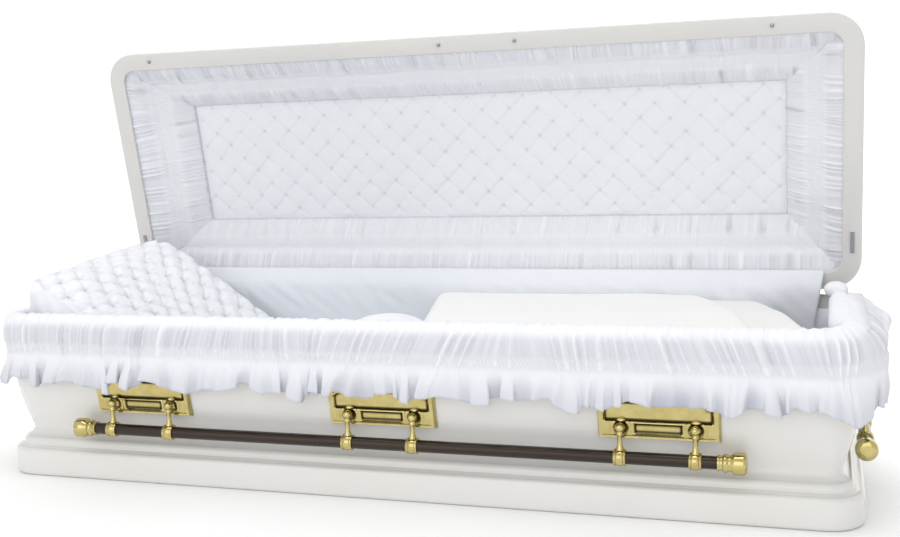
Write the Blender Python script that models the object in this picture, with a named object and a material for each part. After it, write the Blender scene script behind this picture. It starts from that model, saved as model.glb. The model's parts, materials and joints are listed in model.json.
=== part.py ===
# A full-couch steel casket with its lid open: a white enamelled shell and lid, a white cloth interior,
# and four swing-bar handles. +X runs towards the foot end, the front is -Y and +Z is up.
# The origin is the centre of the underside. All sizes are in metres.
import math

import bmesh
import bpy
from mathutils import Matrix, Vector

# Shell
HALF_LENGTH = 1.050
HALF_WIDTH = 0.352
RIM_Z = 0.408
SHEET = 0.0016
CORNER_RADIUS = 0.085
CORNER_STEPS = 5
PLINTH_HEIGHT = 0.070
PLINTH_ROUND = 0.010
WAIST_Z = 0.119
WAIST_DEPTH = 0.046
STEP_DEPTH = 0.020
FLARE_STEPS = 5
RIM_LIP = 0.014

# Lid. It overhangs the shell all round, and the hinge line is its lower back edge.
LID_GAP = 0.010
LID_END_OVERHANG = 0.005
LID_SIDE_OVERHANG = 0.0015
LID_DEPTH = 0.165
LID_EDGE_HEIGHT = 0.030
LID_EDGE_ROUND = 0.004
LID_EDGE_BEAD = 0.006
LID_OPEN_DEG = 77.0
FLANGE = 0.048
FLANGE_ROUND = 0.003
LID_CORNER = 0.085
LID_SHOULDER = 0.075
LID_SHOULDER_HEIGHT = 0.099
CROWN_STEP_WIDTH = 0.014
CROWN_STEP_HEIGHT = 0.010
CROWN_SLOPE_WIDTH = 0.110
CROWN_STEPS = 4

# Lid lining
QUILT_DEPTH = 0.100
QUILT_THICKNESS = 0.022
QUILT_PUFF = 0.012
QUILT_SIDE_MARGIN = 0.170
QUILT_END_MARGIN = 0.210
BORDER_THICKNESS = 0.014
BORDER_BULGE = 0.012
LINING_GAP = 0.003

# Interior
LINING_THICKNESS = 0.014
LINING_STEPS = 2
MATTRESS_TOP = 0.200
MATTRESS_BOTTOM = 0.012
MATTRESS_CROWN = 0.030
INTERIOR_GAP = 0.004
LINING_BACK_GAP = 0.002
OVERLAY_START_X = 0.030
OVERLAY_END_GAP = 0.060
OVERLAY_TOP_DROP = 0.004
OVERLAY_THICKNESS = 0.055
OVERLAY_ROUND = 0.018
PILLOW_LENGTH = 0.500
PILLOW_BACK_RISE = 0.150
PILLOW_FRONT_RISE = 0.100
PILLOW_TOE_THICKNESS = 0.110
PILLOW_ROUND = 0.030
PILLOW_SIDE_GAP = 0.007
PILLOW_PINCH = 0.036
PILLOW_FALL_POWER = 1.6
PILLOW_STEPS = 8
PILLOW_RIDGE_SHARE = 0.25

# Apron over the rim
APRON_RISE = 0.016
APRON_THICKNESS = 0.010
APRON_ROUND = 0.030
APRON_CLEARANCE = 0.003
APRON_DROP = 0.160
APRON_STAND_OFF = 0.026
APRON_INSIDE_DROP = 0.030
APRON_BACK_GAP = 0.110
APRON_END_STEPS = 5
HINGE_COVER_THICKNESS = 0.008
HINGE_COVER_DROP = 0.060
HINGE_COVER_END_GAP = 0.090
HINGE_COVER_STAND_OFF = 0.006

# Hardware
PLATE_LENGTH = 0.262
PLATE_BOTTOM = 0.172
PLATE_TOP = 0.272
PLATE_THICKNESS = 0.010
PLATE_FRAME = 0.016
PLATE_EDGE = 0.004
PLATE_RECESS = 0.005
PLATE_GAP = 0.0005
SIDE_PLATE_END_DISTANCE = 0.419
ARM_OFFSET = 0.0795
PIVOT_Z = 0.199
PIVOT_STAND_OFF = 0.013
BALL_RADIUS = 0.011
ARM_RADIUS = 0.0065
BAR_DROP = 0.065
BAR_RADIUS = 0.014
BAR_CLEARANCE = 0.0005
RING_RADIUS = 0.019
RING_WIDTH = 0.026
SIDE_BAR_END_DISTANCE = 0.295
END_BAR_SIDE_DISTANCE = 0.222
TIP_LENGTH = 0.062
TIP_RADIUS = 0.024
TURNED_SIDES = 12
STUD_RADIUS = 0.005
STUD_HEIGHT = 0.006
STUD_HEAD_DISTANCE = 0.145
STUD_FOOT_DISTANCE = 0.215
STUD_MIDDLE_PAIR = (-0.020, 0.190)
CATCH_START = 0.100
CATCH_LENGTH = 0.055
CATCH_WIDTH = 0.010
CATCH_THICKNESS = 0.003
HINGE_LEAF_END_DISTANCE = 0.100
HINGE_LEAF_THICKNESS = 0.0015
HINGE_LEAF_WIDTH = 0.024
TOUCH_GAP = 0.0004

# Derived places
LID_HALF = HALF_LENGTH + LID_END_OVERHANG
LID_WIDTH = 2 * (HALF_WIDTH + LID_SIDE_OVERHANG)
HINGE_Y = HALF_WIDTH + LID_SIDE_OVERHANG
HINGE_Z = RIM_Z + LID_GAP
LINING_TOP = RIM_Z - APRON_INSIDE_DROP - 2 * INTERIOR_GAP
HOOK_INNER = RIM_LIP + APRON_CLEARANCE + APRON_THICKNESS

COLOURS = {
    "enamel": ((0.80, 0.79, 0.78, 1.0), 0.25, 0.0),
    "crepe": ((0.86, 0.88, 0.93, 1.0), 0.85, 0.0),
    "velvet": ((0.90, 0.89, 0.87, 1.0), 0.90, 0.0),
    "gold": ((0.80, 0.66, 0.32, 1.0), 0.22, 1.0),
    "bronze": ((0.10, 0.065, 0.05, 1.0), 0.35, 0.8),
    "steel": ((0.55, 0.57, 0.62, 1.0), 0.35, 1.0),
}


def clear_scene():
    for obj in list(bpy.data.objects):
        bpy.data.objects.remove(obj, do_unlink=True)


def material_for(name, finish):
    colour, roughness, metallic = COLOURS[finish]
    material = bpy.data.materials.new(name)
    material.use_nodes = True
    shader = material.node_tree.nodes["Principled BSDF"]
    shader.inputs["Base Color"].default_value = colour
    shader.inputs["Roughness"].default_value = roughness
    shader.inputs["Metallic"].default_value = metallic
    return material


def add_object(name, mesh, finish, parent=None, smooth_deg=None):
    obj = bpy.data.objects.new(name, mesh)
    bpy.context.scene.collection.objects.link(obj)
    obj.parent = parent
    mesh.materials.append(material_for(name, finish))
    if smooth_deg:
        mesh.shade_smooth()
        mesh.set_sharp_from_angle(angle=math.radians(smooth_deg))
    return obj


def add_empty(name, location, turn=(0.0, 0.0, 0.0), parent=None):
    empty = bpy.data.objects.new(name, None)
    bpy.context.scene.collection.objects.link(empty)
    empty.location = location
    empty.rotation_euler = turn
    empty.parent = parent
    return empty


def loft(name, rings, closed_path=False):
    """Bridges rings with equal point counts. An open path gets a cap on each end."""
    bm = bmesh.new()
    rows = [[bm.verts.new(point) for point in ring] for ring in rings]
    count = len(rings[0])
    pairs = list(zip(rows, rows[1:]))
    if closed_path:
        pairs.append((rows[-1], rows[0]))
    for low, high in pairs:
        for i in range(count):
            j = (i + 1) % count
            bm.faces.new((low[i], low[j], high[j], high[i]))
    if not closed_path:
        bm.faces.new(list(reversed(rows[0])))
        bm.faces.new(rows[-1])
    bmesh.ops.recalc_face_normals(bm, faces=bm.faces)
    mesh = bpy.data.meshes.new(name)
    bm.to_mesh(mesh)
    bm.free()
    return mesh


def rounded_rectangle(half_x, half_y, radius, z=0.0, steps=CORNER_STEPS):
    """Points of a rounded rectangle, counter-clockwise seen from above."""
    points = []
    for sx, sy, start in ((1, 1, 0), (-1, 1, 90), (-1, -1, 180), (1, -1, 270)):
        for i in range(steps + 1):
            angle = math.radians(start + 90 * i / steps)
            x = sx * (half_x - radius) + radius * math.cos(angle)
            y = sy * (half_y - radius) + radius * math.sin(angle)
            points.append((x, y, z))
    return points


def shell_profile():
    """(offset from the plan outline, height) from the underside up to the rim, on the outer face."""
    points = [(-PLINTH_ROUND, 0.0)]
    points.append((-PLINTH_ROUND * 0.3, PLINTH_ROUND * 0.3))
    points.append((0.0, PLINTH_ROUND))
    points.append((0.0, PLINTH_HEIGHT - PLINTH_ROUND))
    points.append((-PLINTH_ROUND * 0.4, PLINTH_HEIGHT - PLINTH_ROUND * 0.3))
    points.append((-STEP_DEPTH * 0.75, PLINTH_HEIGHT))
    points.append((-STEP_DEPTH, PLINTH_HEIGHT + 0.2 * (WAIST_Z - PLINTH_HEIGHT)))
    points.append((-STEP_DEPTH * 1.3, PLINTH_HEIGHT + 0.45 * (WAIST_Z - PLINTH_HEIGHT)))
    points.append((-WAIST_DEPTH * 0.92, PLINTH_HEIGHT + 0.65 * (WAIST_Z - PLINTH_HEIGHT)))
    points.append((-WAIST_DEPTH, WAIST_Z))
    for i in range(1, FLARE_STEPS + 1):
        height = WAIST_Z + (RIM_Z - WAIST_Z) * (i / FLARE_STEPS) ** 1.25
        points.append((flank_offset(height), height))
    return points


def flank_offset(height):
    """Offset of the flared flank from the plan outline: a quarter-sine sweep from waist to rim."""
    share = min(1.0, max(0.0, (height - WAIST_Z) / (RIM_Z - WAIST_Z)))
    return -WAIST_DEPTH * (1.0 - math.sin(math.pi / 2 * share)) ** 1.6


def plan_ring(offset, height, inset=0.0):
    radius = max(0.02, CORNER_RADIUS + offset - inset)
    return rounded_rectangle(
        HALF_LENGTH + offset - inset, HALF_WIDTH + offset - inset, radius, height
    )


def build_shell():
    outer = shell_profile()
    rings = [plan_ring(offset, height) for offset, height in outer]
    rings.append(plan_ring(0.0, RIM_Z, RIM_LIP))
    rings.append(plan_ring(0.0, RIM_Z - SHEET, RIM_LIP))
    for offset, height in reversed(outer[2:]):
        rings.append(plan_ring(offset, min(height, RIM_Z - SHEET), SHEET))
    rings.append(plan_ring(0.0, SHEET, 2 * PLINTH_ROUND))
    return add_object("shell", loft("shell", rings), "enamel", smooth_deg=40)


def lining_inset(height):
    """How far the side lining's inner face is from the plan outline. The lining follows the flank."""
    return SHEET + LINING_BACK_GAP + LINING_THICKNESS - flank_offset(height)


def build_side_lining():
    levels = [WAIST_Z + (LINING_TOP - WAIST_Z) * i / LINING_STEPS for i in range(LINING_STEPS + 1)]
    inner = [plan_ring(0.0, z, lining_inset(z)) for z in levels]
    outer = [plan_ring(0.0, z, lining_inset(z) - LINING_THICKNESS) for z in levels]
    rings = outer + inner[::-1]
    return add_object("side_lining", loft("side_lining", rings, closed_path=True), "crepe", smooth_deg=40)


def build_mattress():
    shoulder = MATTRESS_TOP - MATTRESS_CROWN
    inset = lining_inset(WAIST_Z) + INTERIOR_GAP
    upper = lining_inset(shoulder) + INTERIOR_GAP
    rings = [
        plan_ring(0.0, MATTRESS_BOTTOM, inset),
        plan_ring(0.0, WAIST_Z, inset),
        plan_ring(0.0, shoulder, upper),
        plan_ring(0.0, MATTRESS_TOP, upper + MATTRESS_CROWN),
    ]
    return add_object("mattress", loft("mattress", rings), "crepe", smooth_deg=50)


def block(name, low, high, bevel=0.0, segments=2):
    bm = bmesh.new()
    bmesh.ops.create_cube(bm, size=1.0)
    centre = (Vector(low) + Vector(high)) / 2
    size = Vector(high) - Vector(low)
    bmesh.ops.scale(bm, vec=size, verts=bm.verts)
    bmesh.ops.translate(bm, vec=centre, verts=bm.verts)
    if bevel:
        bmesh.ops.bevel(
            bm, geom=list(bm.edges), offset=bevel, segments=segments, profile=0.5, affect="EDGES"
        )
    mesh = bpy.data.meshes.new(name)
    bm.to_mesh(mesh)
    bm.free()
    return mesh


def build_overlay():
    """The throw's slab lies just below the rim, inside the apron's inner edge and the hinge cover."""
    cover = lining_inset(LINING_TOP) + LINING_GAP + HINGE_COVER_THICKNESS
    inset = max(HOOK_INNER, cover) + INTERIOR_GAP
    half_x, half_y = HALF_LENGTH - inset, HALF_WIDTH - inset
    top = RIM_Z - OVERLAY_TOP_DROP
    mesh = block(
        "overlay_throw",
        (OVERLAY_START_X, -half_y, top - OVERLAY_THICKNESS),
        (half_x - OVERLAY_END_GAP, half_y, top),
        OVERLAY_ROUND,
    )
    return add_object("overlay_throw", mesh, "velvet", smooth_deg=60)


def build_pillow():
    """A wedge that leans on the head end, higher at the back, with pinched ends."""
    low = MATTRESS_TOP + INTERIOR_GAP
    inset = lining_inset(low) + PILLOW_SIDE_GAP
    head = inset - HALF_LENGTH
    half_y = HALF_WIDTH - inset
    end = low + PILLOW_TOE_THICKNESS
    rings = []
    for i in range(PILLOW_STEPS + 1):
        share = i / PILLOW_STEPS
        x = head + PILLOW_LENGTH * share
        fall = share ** PILLOW_FALL_POWER
        z_back = RIM_Z + PILLOW_BACK_RISE + (end - RIM_Z - PILLOW_BACK_RISE) * fall
        z_front = RIM_Z + PILLOW_FRONT_RISE + (end - RIM_Z - PILLOW_FRONT_RISE) * fall
        side = half_y - PILLOW_PINCH * (1 - math.sqrt(abs(math.sin(math.pi * share))))
        ridge = side - half_y * PILLOW_RIDGE_SHARE
        rings.append(
            [
                (x, -side, low),
                (x, side, low),
                (x, side, z_back - PILLOW_ROUND),
                (x, ridge, z_back),
                (x, -ridge, z_front),
                (x, -side, z_front - PILLOW_ROUND),
            ]
        )
    return add_object("pillow", loft("pillow", rings), "crepe", smooth_deg=60)


def rim_path():
    """Points and outward normals along the rim's front U, from the back of the head end round to the foot."""
    corner_x, corner_y = HALF_LENGTH - CORNER_RADIUS, HALF_WIDTH - CORNER_RADIUS
    end_y = HALF_WIDTH - APRON_BACK_GAP
    stations = []
    for i in range(APRON_END_STEPS):
        y = end_y + (-corner_y - end_y) * i / APRON_END_STEPS
        stations.append(((-HALF_LENGTH, y), (-1.0, 0.0)))
    for i in range(CORNER_STEPS + 1):
        angle = math.radians(180 + 90 * i / CORNER_STEPS)
        normal = (math.cos(angle), math.sin(angle))
        place = (-corner_x + CORNER_RADIUS * normal[0], -corner_y + CORNER_RADIUS * normal[1])
        stations.append((place, normal))
    mirrored = [((-p[0], p[1]), (-n[0], n[1])) for p, n in reversed(stations)]
    return stations + mirrored


def apron_section():
    """(outward distance from the rim line, height) round the apron's hook-shaped section."""
    top = RIM_Z + APRON_CLEARANCE
    inner = -(RIM_LIP + APRON_CLEARANCE)
    outer = APRON_STAND_OFF
    hem = RIM_Z - APRON_DROP
    thick = APRON_THICKNESS
    return [
        (inner - thick, RIM_Z - APRON_INSIDE_DROP),
        (inner, RIM_Z - APRON_INSIDE_DROP),
        (inner, top),
        (outer - thick * 1.2, top),
        (outer - thick, top - APRON_ROUND),
        (outer - thick, hem),
        (outer, hem),
        (outer, RIM_Z - APRON_ROUND),
        (outer - thick * 0.4, RIM_Z + APRON_RISE * 0.4),
        (outer * 0.35, RIM_Z + APRON_RISE),
        (inner - thick * 0.6, RIM_Z + APRON_RISE * 0.8),
        (inner - thick, RIM_Z),
    ]


def build_apron():
    section = apron_section()
    rings = []
    for (x, y), (nx, ny) in rim_path():
        rings.append([(x + nx * d, y + ny * d, z) for d, z in section])
    return add_object("apron", loft("apron", rings), "crepe", smooth_deg=50)


def build_hinge_cover():
    """Cloth panel from the lid's flange down to the inside of the back rim, along the hinge."""
    half = HALF_LENGTH - HINGE_COVER_END_GAP
    thick = Vector((-HINGE_COVER_THICKNESS, 0.0))
    lean = math.radians(90 - LID_OPEN_DEG)
    up = Vector((-math.sin(lean), math.cos(lean)))
    out = Vector((-math.cos(lean), -math.sin(lean)))
    foot_y = HALF_WIDTH - lining_inset(LINING_TOP) - LINING_GAP
    foot = Vector((foot_y, RIM_Z - HINGE_COVER_DROP))
    bend = Vector((foot_y, RIM_Z + HINGE_COVER_STAND_OFF))
    top = Vector((HINGE_Y, HINGE_Z)) + up * (FLANGE + LINING_GAP) + out * HINGE_COVER_STAND_OFF
    section = [foot, bend, top, top + thick, bend + thick, foot + thick]
    rings = [[(x, p.x, p.y) for p in section] for x in (-half, half)]
    return add_object("hinge_cover", loft("hinge_cover", rings), "crepe")


def lid_ring(inset, height):
    """A ring of the lid in its closed place, with y measured from the hinge line."""
    radius = max(0.012, LID_CORNER - inset)
    ring = rounded_rectangle(LID_HALF - inset, LID_WIDTH / 2 - inset, radius, height)
    return [(x, y - LID_WIDTH / 2, z) for x, y, z in ring]


def lid_profile():
    """(inset, height) up the lid's outside: an upright edge, a bead, a cove, a step and a shallow crown."""
    base = LID_EDGE_HEIGHT + LID_EDGE_BEAD
    points = [(LID_EDGE_ROUND, 0.0), (0.0, LID_EDGE_ROUND), (0.0, LID_EDGE_HEIGHT), (LID_EDGE_BEAD, base)]
    for i in range(1, CROWN_STEPS + 1):
        angle = math.pi / 2 * i / CROWN_STEPS
        inset = LID_EDGE_BEAD + LID_SHOULDER * (1 - math.cos(angle))
        points.append((inset, base + LID_SHOULDER_HEIGHT * math.sin(angle)))
    step = LID_EDGE_BEAD + LID_SHOULDER + CROWN_STEP_WIDTH
    points.append((step, base + LID_SHOULDER_HEIGHT + CROWN_STEP_HEIGHT))
    points.append((step + CROWN_SLOPE_WIDTH, LID_DEPTH))
    return points


def build_lid(hinge):
    outer = lid_profile()
    rings = [lid_ring(inset, height) for inset, height in reversed(outer)]
    rings.append(lid_ring(FLANGE - FLANGE_ROUND, 0.0))
    rings.append(lid_ring(FLANGE, FLANGE_ROUND))
    rings.append(lid_ring(FLANGE, FLANGE_ROUND + SHEET))
    rings.append(lid_ring(SHEET + LID_EDGE_ROUND, FLANGE_ROUND + SHEET))
    for inset, height in outer[2:]:
        rings.append(lid_ring(inset + SHEET, height - SHEET * (height > LID_EDGE_HEIGHT)))
    return add_object("lid", loft("lid", rings), "enamel", hinge, smooth_deg=40)


def rectangle(x0, x1, y0, y1, z):
    return [(x0, y0, z), (x1, y0, z), (x1, y1, z), (x0, y1, z)]


def build_quilted_panel(hinge):
    half = LID_HALF - QUILT_END_MARGIN - LINING_GAP
    near = -(QUILT_SIDE_MARGIN + LINING_GAP)
    far = -(LID_WIDTH - QUILT_SIDE_MARGIN - LINING_GAP)
    puff = QUILT_PUFF
    rings = [
        rectangle(-half, half, far, near, QUILT_DEPTH + QUILT_THICKNESS),
        rectangle(-half, half, far, near, QUILT_DEPTH + puff / 2),
        rectangle(-half + puff, half - puff, far + puff, near - puff, QUILT_DEPTH),
    ]
    return add_object("lid_quilted_panel", loft("lid_quilted_panel", rings), "crepe", hinge)


def border(name, hinge, outer_a, outer_b, inner_a, inner_b, inward):
    """A mitred slanting pad from the flange's inner edge in to the quilted panel."""
    low = FLANGE_ROUND + SHEET + LINING_GAP
    rings = []
    for share, fullness in ((0.0, 0.0), (0.35, 1.0), (0.7, 0.85), (1.0, 0.0)):
        a = Vector(outer_a).lerp(Vector(inner_a), share)
        b = Vector(outer_b).lerp(Vector(inner_b), share)
        bulge = BORDER_BULGE * fullness
        shift = Vector(inward) * (-bulge)
        z = low + (QUILT_DEPTH - low) * share + bulge / 2
        rings.append(
            [
                (a.x + shift.x, a.y + shift.y, z),
                (b.x + shift.x, b.y + shift.y, z),
                (b.x + shift.x, b.y + shift.y, z + BORDER_THICKNESS),
                (a.x + shift.x, a.y + shift.y, z + BORDER_THICKNESS),
            ]
        )
    return add_object(name, loft(name, rings), "crepe", hinge, smooth_deg=40)


def build_borders(hinge):
    gap = LINING_GAP
    x0, x1 = LID_HALF - FLANGE - gap, LID_HALF - QUILT_END_MARGIN + gap
    near0, near1 = -(FLANGE + gap), -(QUILT_SIDE_MARGIN - gap)
    far0 = -(LID_WIDTH - FLANGE - gap)
    far1 = -(LID_WIDTH - QUILT_SIDE_MARGIN + gap)
    mitre = 2 * gap
    border("lid_border_hinge", hinge, (-x0 + mitre, near0), (x0 - mitre, near0),
           (-x1 + mitre, near1), (x1 - mitre, near1), (0, -1))
    border("lid_border_front", hinge, (-x0 + mitre, far0), (x0 - mitre, far0),
           (-x1 + mitre, far1), (x1 - mitre, far1), (0, 1))
    border("lid_border_head", hinge, (-x0, near0 - mitre), (-x0, far0 + mitre),
           (-x1, near1 - mitre), (-x1, far1 + mitre), (1, 0))
    border("lid_border_foot", hinge, (x0, near0 - mitre), (x0, far0 + mitre),
           (x1, near1 - mitre), (x1, far1 + mitre), (-1, 0))


def turned(name, profile, sides=TURNED_SIDES):
    """A solid turned about the X axis from (x, radius) points. It is capped at both ends."""
    rings = []
    for x, radius in profile:
        ring = []
        for i in range(sides):
            angle = 2 * math.pi * (i + 0.5) / sides
            ring.append((x, radius * math.cos(angle), radius * math.sin(angle)))
        rings.append(ring)
    return loft(name, rings)


def stud_mesh(name):
    mesh = turned(name, [(0.0, STUD_RADIUS), (STUD_HEIGHT * 0.6, STUD_RADIUS), (STUD_HEIGHT, STUD_RADIUS * 0.5)], 8)
    mesh.transform(Matrix.Rotation(math.pi / 2, 4, "Y"))
    return mesh


def build_lid_fittings(hinge):
    """Rubber-tipped studs along the flange's front, and a catch near the hinge at each end."""
    middle = FLANGE / 2
    places = (STUD_HEAD_DISTANCE - LID_HALF, *STUD_MIDDLE_PAIR, LID_HALF - STUD_FOOT_DISTANCE)
    for i, x in enumerate(places, 1):
        stud = add_object(f"lid_stud_{i}", stud_mesh(f"lid_stud_{i}"), "steel", hinge, smooth_deg=40)
        stud.location = (x, middle - LID_WIDTH, -TOUCH_GAP)
    for end, sign in (("head", -1), ("foot", 1)):
        x = sign * (LID_HALF - middle)
        name = f"lid_catch_{end}"
        mesh = block(
            name,
            (x - CATCH_WIDTH / 2, -CATCH_START - CATCH_LENGTH, -TOUCH_GAP - CATCH_THICKNESS),
            (x + CATCH_WIDTH / 2, -CATCH_START, -TOUCH_GAP),
        )
        add_object(name, mesh, "steel", hinge)


def build_hinge_leaves(hinge):
    """A long leaf behind the shell's rim and one behind the lid's edge."""
    half = HALF_LENGTH - HINGE_LEAF_END_DISTANCE
    leaf_y = HALF_WIDTH + TOUCH_GAP
    mesh = block(
        "hinge_leaf_shell",
        (-half, leaf_y, RIM_Z - HINGE_LEAF_WIDTH),
        (half, leaf_y + HINGE_LEAF_THICKNESS, RIM_Z),
    )
    add_object("hinge_leaf_shell", mesh, "steel")
    mesh = block(
        "hinge_leaf_lid",
        (-half, TOUCH_GAP, LID_EDGE_ROUND),
        (half, TOUCH_GAP + HINGE_LEAF_THICKNESS, HINGE_LEAF_WIDTH),
    )
    add_object("hinge_leaf_lid", mesh, "steel", hinge)


def plate_mesh(name):
    """A cast ear plate lying in its own XY plane with a raised, bevelled frame round a sunk field."""
    half_x = PLATE_LENGTH / 2
    low = flank_point(PLATE_BOTTOM)
    high = flank_point(PLATE_TOP)
    height = (high - low).length
    levels = (
        (0.0, 0.0),
        (0.0, PLATE_EDGE),
        (PLATE_EDGE, PLATE_THICKNESS),
        (PLATE_FRAME - PLATE_EDGE, PLATE_THICKNESS),
        (PLATE_FRAME, PLATE_THICKNESS - PLATE_RECESS),
    )
    rings = [
        rectangle(-half_x + d, half_x - d, d, height - d, z) for d, z in levels
    ]
    return loft(name, rings)


def flank_point(height):
    """(outward distance from the plan outline, height) on the flank, as a 2-D vector."""
    return Vector((flank_offset(height), height))


def flank_bulge():
    """How far the rounded flank stands out past the straight line between a plate's two edges."""
    low = flank_point(PLATE_BOTTOM)
    chord = flank_point(PLATE_TOP) - low
    reach = [0.0]
    for i in range(1, 20):
        point = flank_point(PLATE_BOTTOM + (PLATE_TOP - PLATE_BOTTOM) * i / 20) - low
        reach.append((point.x * chord.y - point.y * chord.x) / chord.length)
    return max(reach)


def side_frame(name, centre, outward_deg):
    """An empty whose +X runs along a side and whose -Y points out of it."""
    return add_empty(name, centre, (0.0, 0.0, math.radians(outward_deg)))


def build_plate(name, side, along):
    low = flank_point(PLATE_BOTTOM)
    high = flank_point(PLATE_TOP)
    lean = math.atan2(high.x - low.x, high.y - low.y)
    plate = add_object(name, plate_mesh(name), "gold", side, smooth_deg=30)
    out = low.x + (flank_bulge() + PLATE_GAP) / math.cos(lean)
    plate.location = (along, -out, low.y)
    plate.rotation_euler = (math.pi / 2 + lean, 0.0, 0.0)
    return plate


def pivot_out():
    return flank_offset(PIVOT_Z) + PLATE_THICKNESS + PIVOT_STAND_OFF


def arm_mesh(name):
    """Knuckle ball, straight arm and the clamp ring that the bar passes through."""
    bm = bmesh.new()
    bmesh.ops.create_uvsphere(bm, u_segments=8, v_segments=6, radius=BALL_RADIUS)
    mesh = bpy.data.meshes.new(name)
    bm.to_mesh(mesh)
    bm.free()
    return mesh


def helper(name, mesh):
    obj = bpy.data.objects.new(name, mesh)
    bpy.context.scene.collection.objects.link(obj)
    obj.hide_render = True
    obj.display_type = "WIRE"
    return obj


def build_arm(name, pivot, along):
    arm = add_object(name, arm_mesh(name), "gold", pivot, smooth_deg=40)
    arm.location = (along, 0.0, 0.0)
    stem = turned(name + "_stem", [(-ARM_RADIUS, ARM_RADIUS), (BAR_DROP - BAR_RADIUS * 0.6, ARM_RADIUS)], 8)
    stem.transform(Matrix.Rotation(math.pi / 2, 4, "Y"))
    ring = turned(
        name + "_ring",
        [
            (-RING_WIDTH / 2, RING_RADIUS * 0.92),
            (-RING_WIDTH / 4, RING_RADIUS),
            (RING_WIDTH / 4, RING_RADIUS),
            (RING_WIDTH / 2, RING_RADIUS * 0.92),
        ],
    )
    ring.transform(Matrix.Translation((0.0, 0.0, -BAR_DROP)))
    bore_radius = (BAR_RADIUS + BAR_CLEARANCE) / math.cos(math.pi / TURNED_SIDES)
    bore = turned(name + "_bore", [(-RING_WIDTH, bore_radius), (RING_WIDTH, bore_radius)])
    bore.transform(Matrix.Translation((0.0, 0.0, -BAR_DROP)))
    for mesh, operation in ((stem, "UNION"), (ring, "UNION"), (bore, "DIFFERENCE")):
        tool = helper(mesh.name, mesh)
        tool.parent = pivot
        tool.location = (along, 0.0, 0.0)
        cut = arm.modifiers.new(mesh.name, "BOOLEAN")
        cut.operation = operation
        cut.object = tool
        cut.solver = "EXACT"
    return arm


def build_bar(name, pivot, half):
    mesh = turned(name, [(-half, BAR_RADIUS), (half, BAR_RADIUS)])
    bar = add_object(name, mesh, "bronze", pivot, smooth_deg=40)
    bar.location = (0.0, 0.0, -BAR_DROP)
    profile = [
        (TOUCH_GAP, BAR_RADIUS * 1.15),
        (TIP_LENGTH * 0.28, BAR_RADIUS * 1.2),
        (TIP_LENGTH * 0.32, BAR_RADIUS * 1.45),
        (TIP_LENGTH * 0.50, BAR_RADIUS * 1.35),
        (TIP_LENGTH * 0.62, TIP_RADIUS),
        (TIP_LENGTH * 0.90, TIP_RADIUS),
        (TIP_LENGTH, TIP_RADIUS * 0.7),
    ]
    for suffix, turn in (("left", math.pi), ("right", 0.0)):
        tip_name = name.replace("bar", f"tip_{suffix}")
        tip = add_object(tip_name, turned(tip_name, profile), "gold", pivot, smooth_deg=40)
        tip.location = (half * math.cos(turn), 0.0, -BAR_DROP)
        tip.rotation_euler = (0.0, 0.0, turn)


def build_handle(side_name, turn_deg, distance, centres, half):
    """The plates of one side, and the swing bar that hangs from them on its knuckles."""
    turn = math.radians(turn_deg)
    centre = (distance * math.sin(turn), -distance * math.cos(turn), 0.0)
    side = side_frame(f"{side_name}_side", centre, turn_deg)
    pivot = add_empty(f"{side_name}_pivot", (0.0, -pivot_out(), PIVOT_Z), parent=side)
    arm_count = 0
    for i, x in enumerate(centres, 1):
        plate_name = f"{side_name}_plate_{i}" if len(centres) > 1 else f"{side_name}_plate"
        build_plate(plate_name, side, x)
        for offset in (-ARM_OFFSET, ARM_OFFSET):
            arm_count += 1
            build_arm(f"{side_name}_arm_{arm_count}", pivot, x + offset)
    build_bar(f"{side_name}_bar", pivot, half)


def main():
    clear_scene()
    build_shell()
    build_side_lining()
    build_mattress()
    build_overlay()
    build_pillow()
    build_apron()
    hinge = add_empty(
        "lid_hinge", (0.0, HINGE_Y, HINGE_Z), (-math.radians(LID_OPEN_DEG), 0.0, 0.0)
    )
    build_lid(hinge)
    build_quilted_panel(hinge)
    build_borders(hinge)
    build_lid_fittings(hinge)
    build_hinge_leaves(hinge)
    build_hinge_cover()
    outer_plate = HALF_LENGTH - SIDE_PLATE_END_DISTANCE
    side_centres = (-outer_plate, 0.0, outer_plate)
    side_bar, end_bar = HALF_LENGTH - SIDE_BAR_END_DISTANCE, HALF_WIDTH - END_BAR_SIDE_DISTANCE
    build_handle("front", 0.0, HALF_WIDTH, side_centres, side_bar)
    build_handle("back", 180.0, HALF_WIDTH, side_centres, side_bar)
    build_handle("foot", 90.0, HALF_LENGTH, (0.0,), end_bar)
    build_handle("head", -90.0, HALF_LENGTH, (0.0,), end_bar)


main()
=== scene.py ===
# %% [markdown]
# # A full-couch casket, dressed from its CAD frame
# The casket is a white enamelled steel box on a stepped plinth, with one long lid that stands open.
# Inside it is upholstered in white crepe: a quilted panel and shirred borders in the lid, a tufted
# pillow, a throw, and a gathered skirt over the rim. The handles are gold-plated castings that carry dark
# bronze bars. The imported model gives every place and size, so each surface below is worked out around it.

# %% Load the frame
import json
import math

import bmesh
import bpy
import numpy as np
from mathutils import Matrix, Vector


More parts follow.
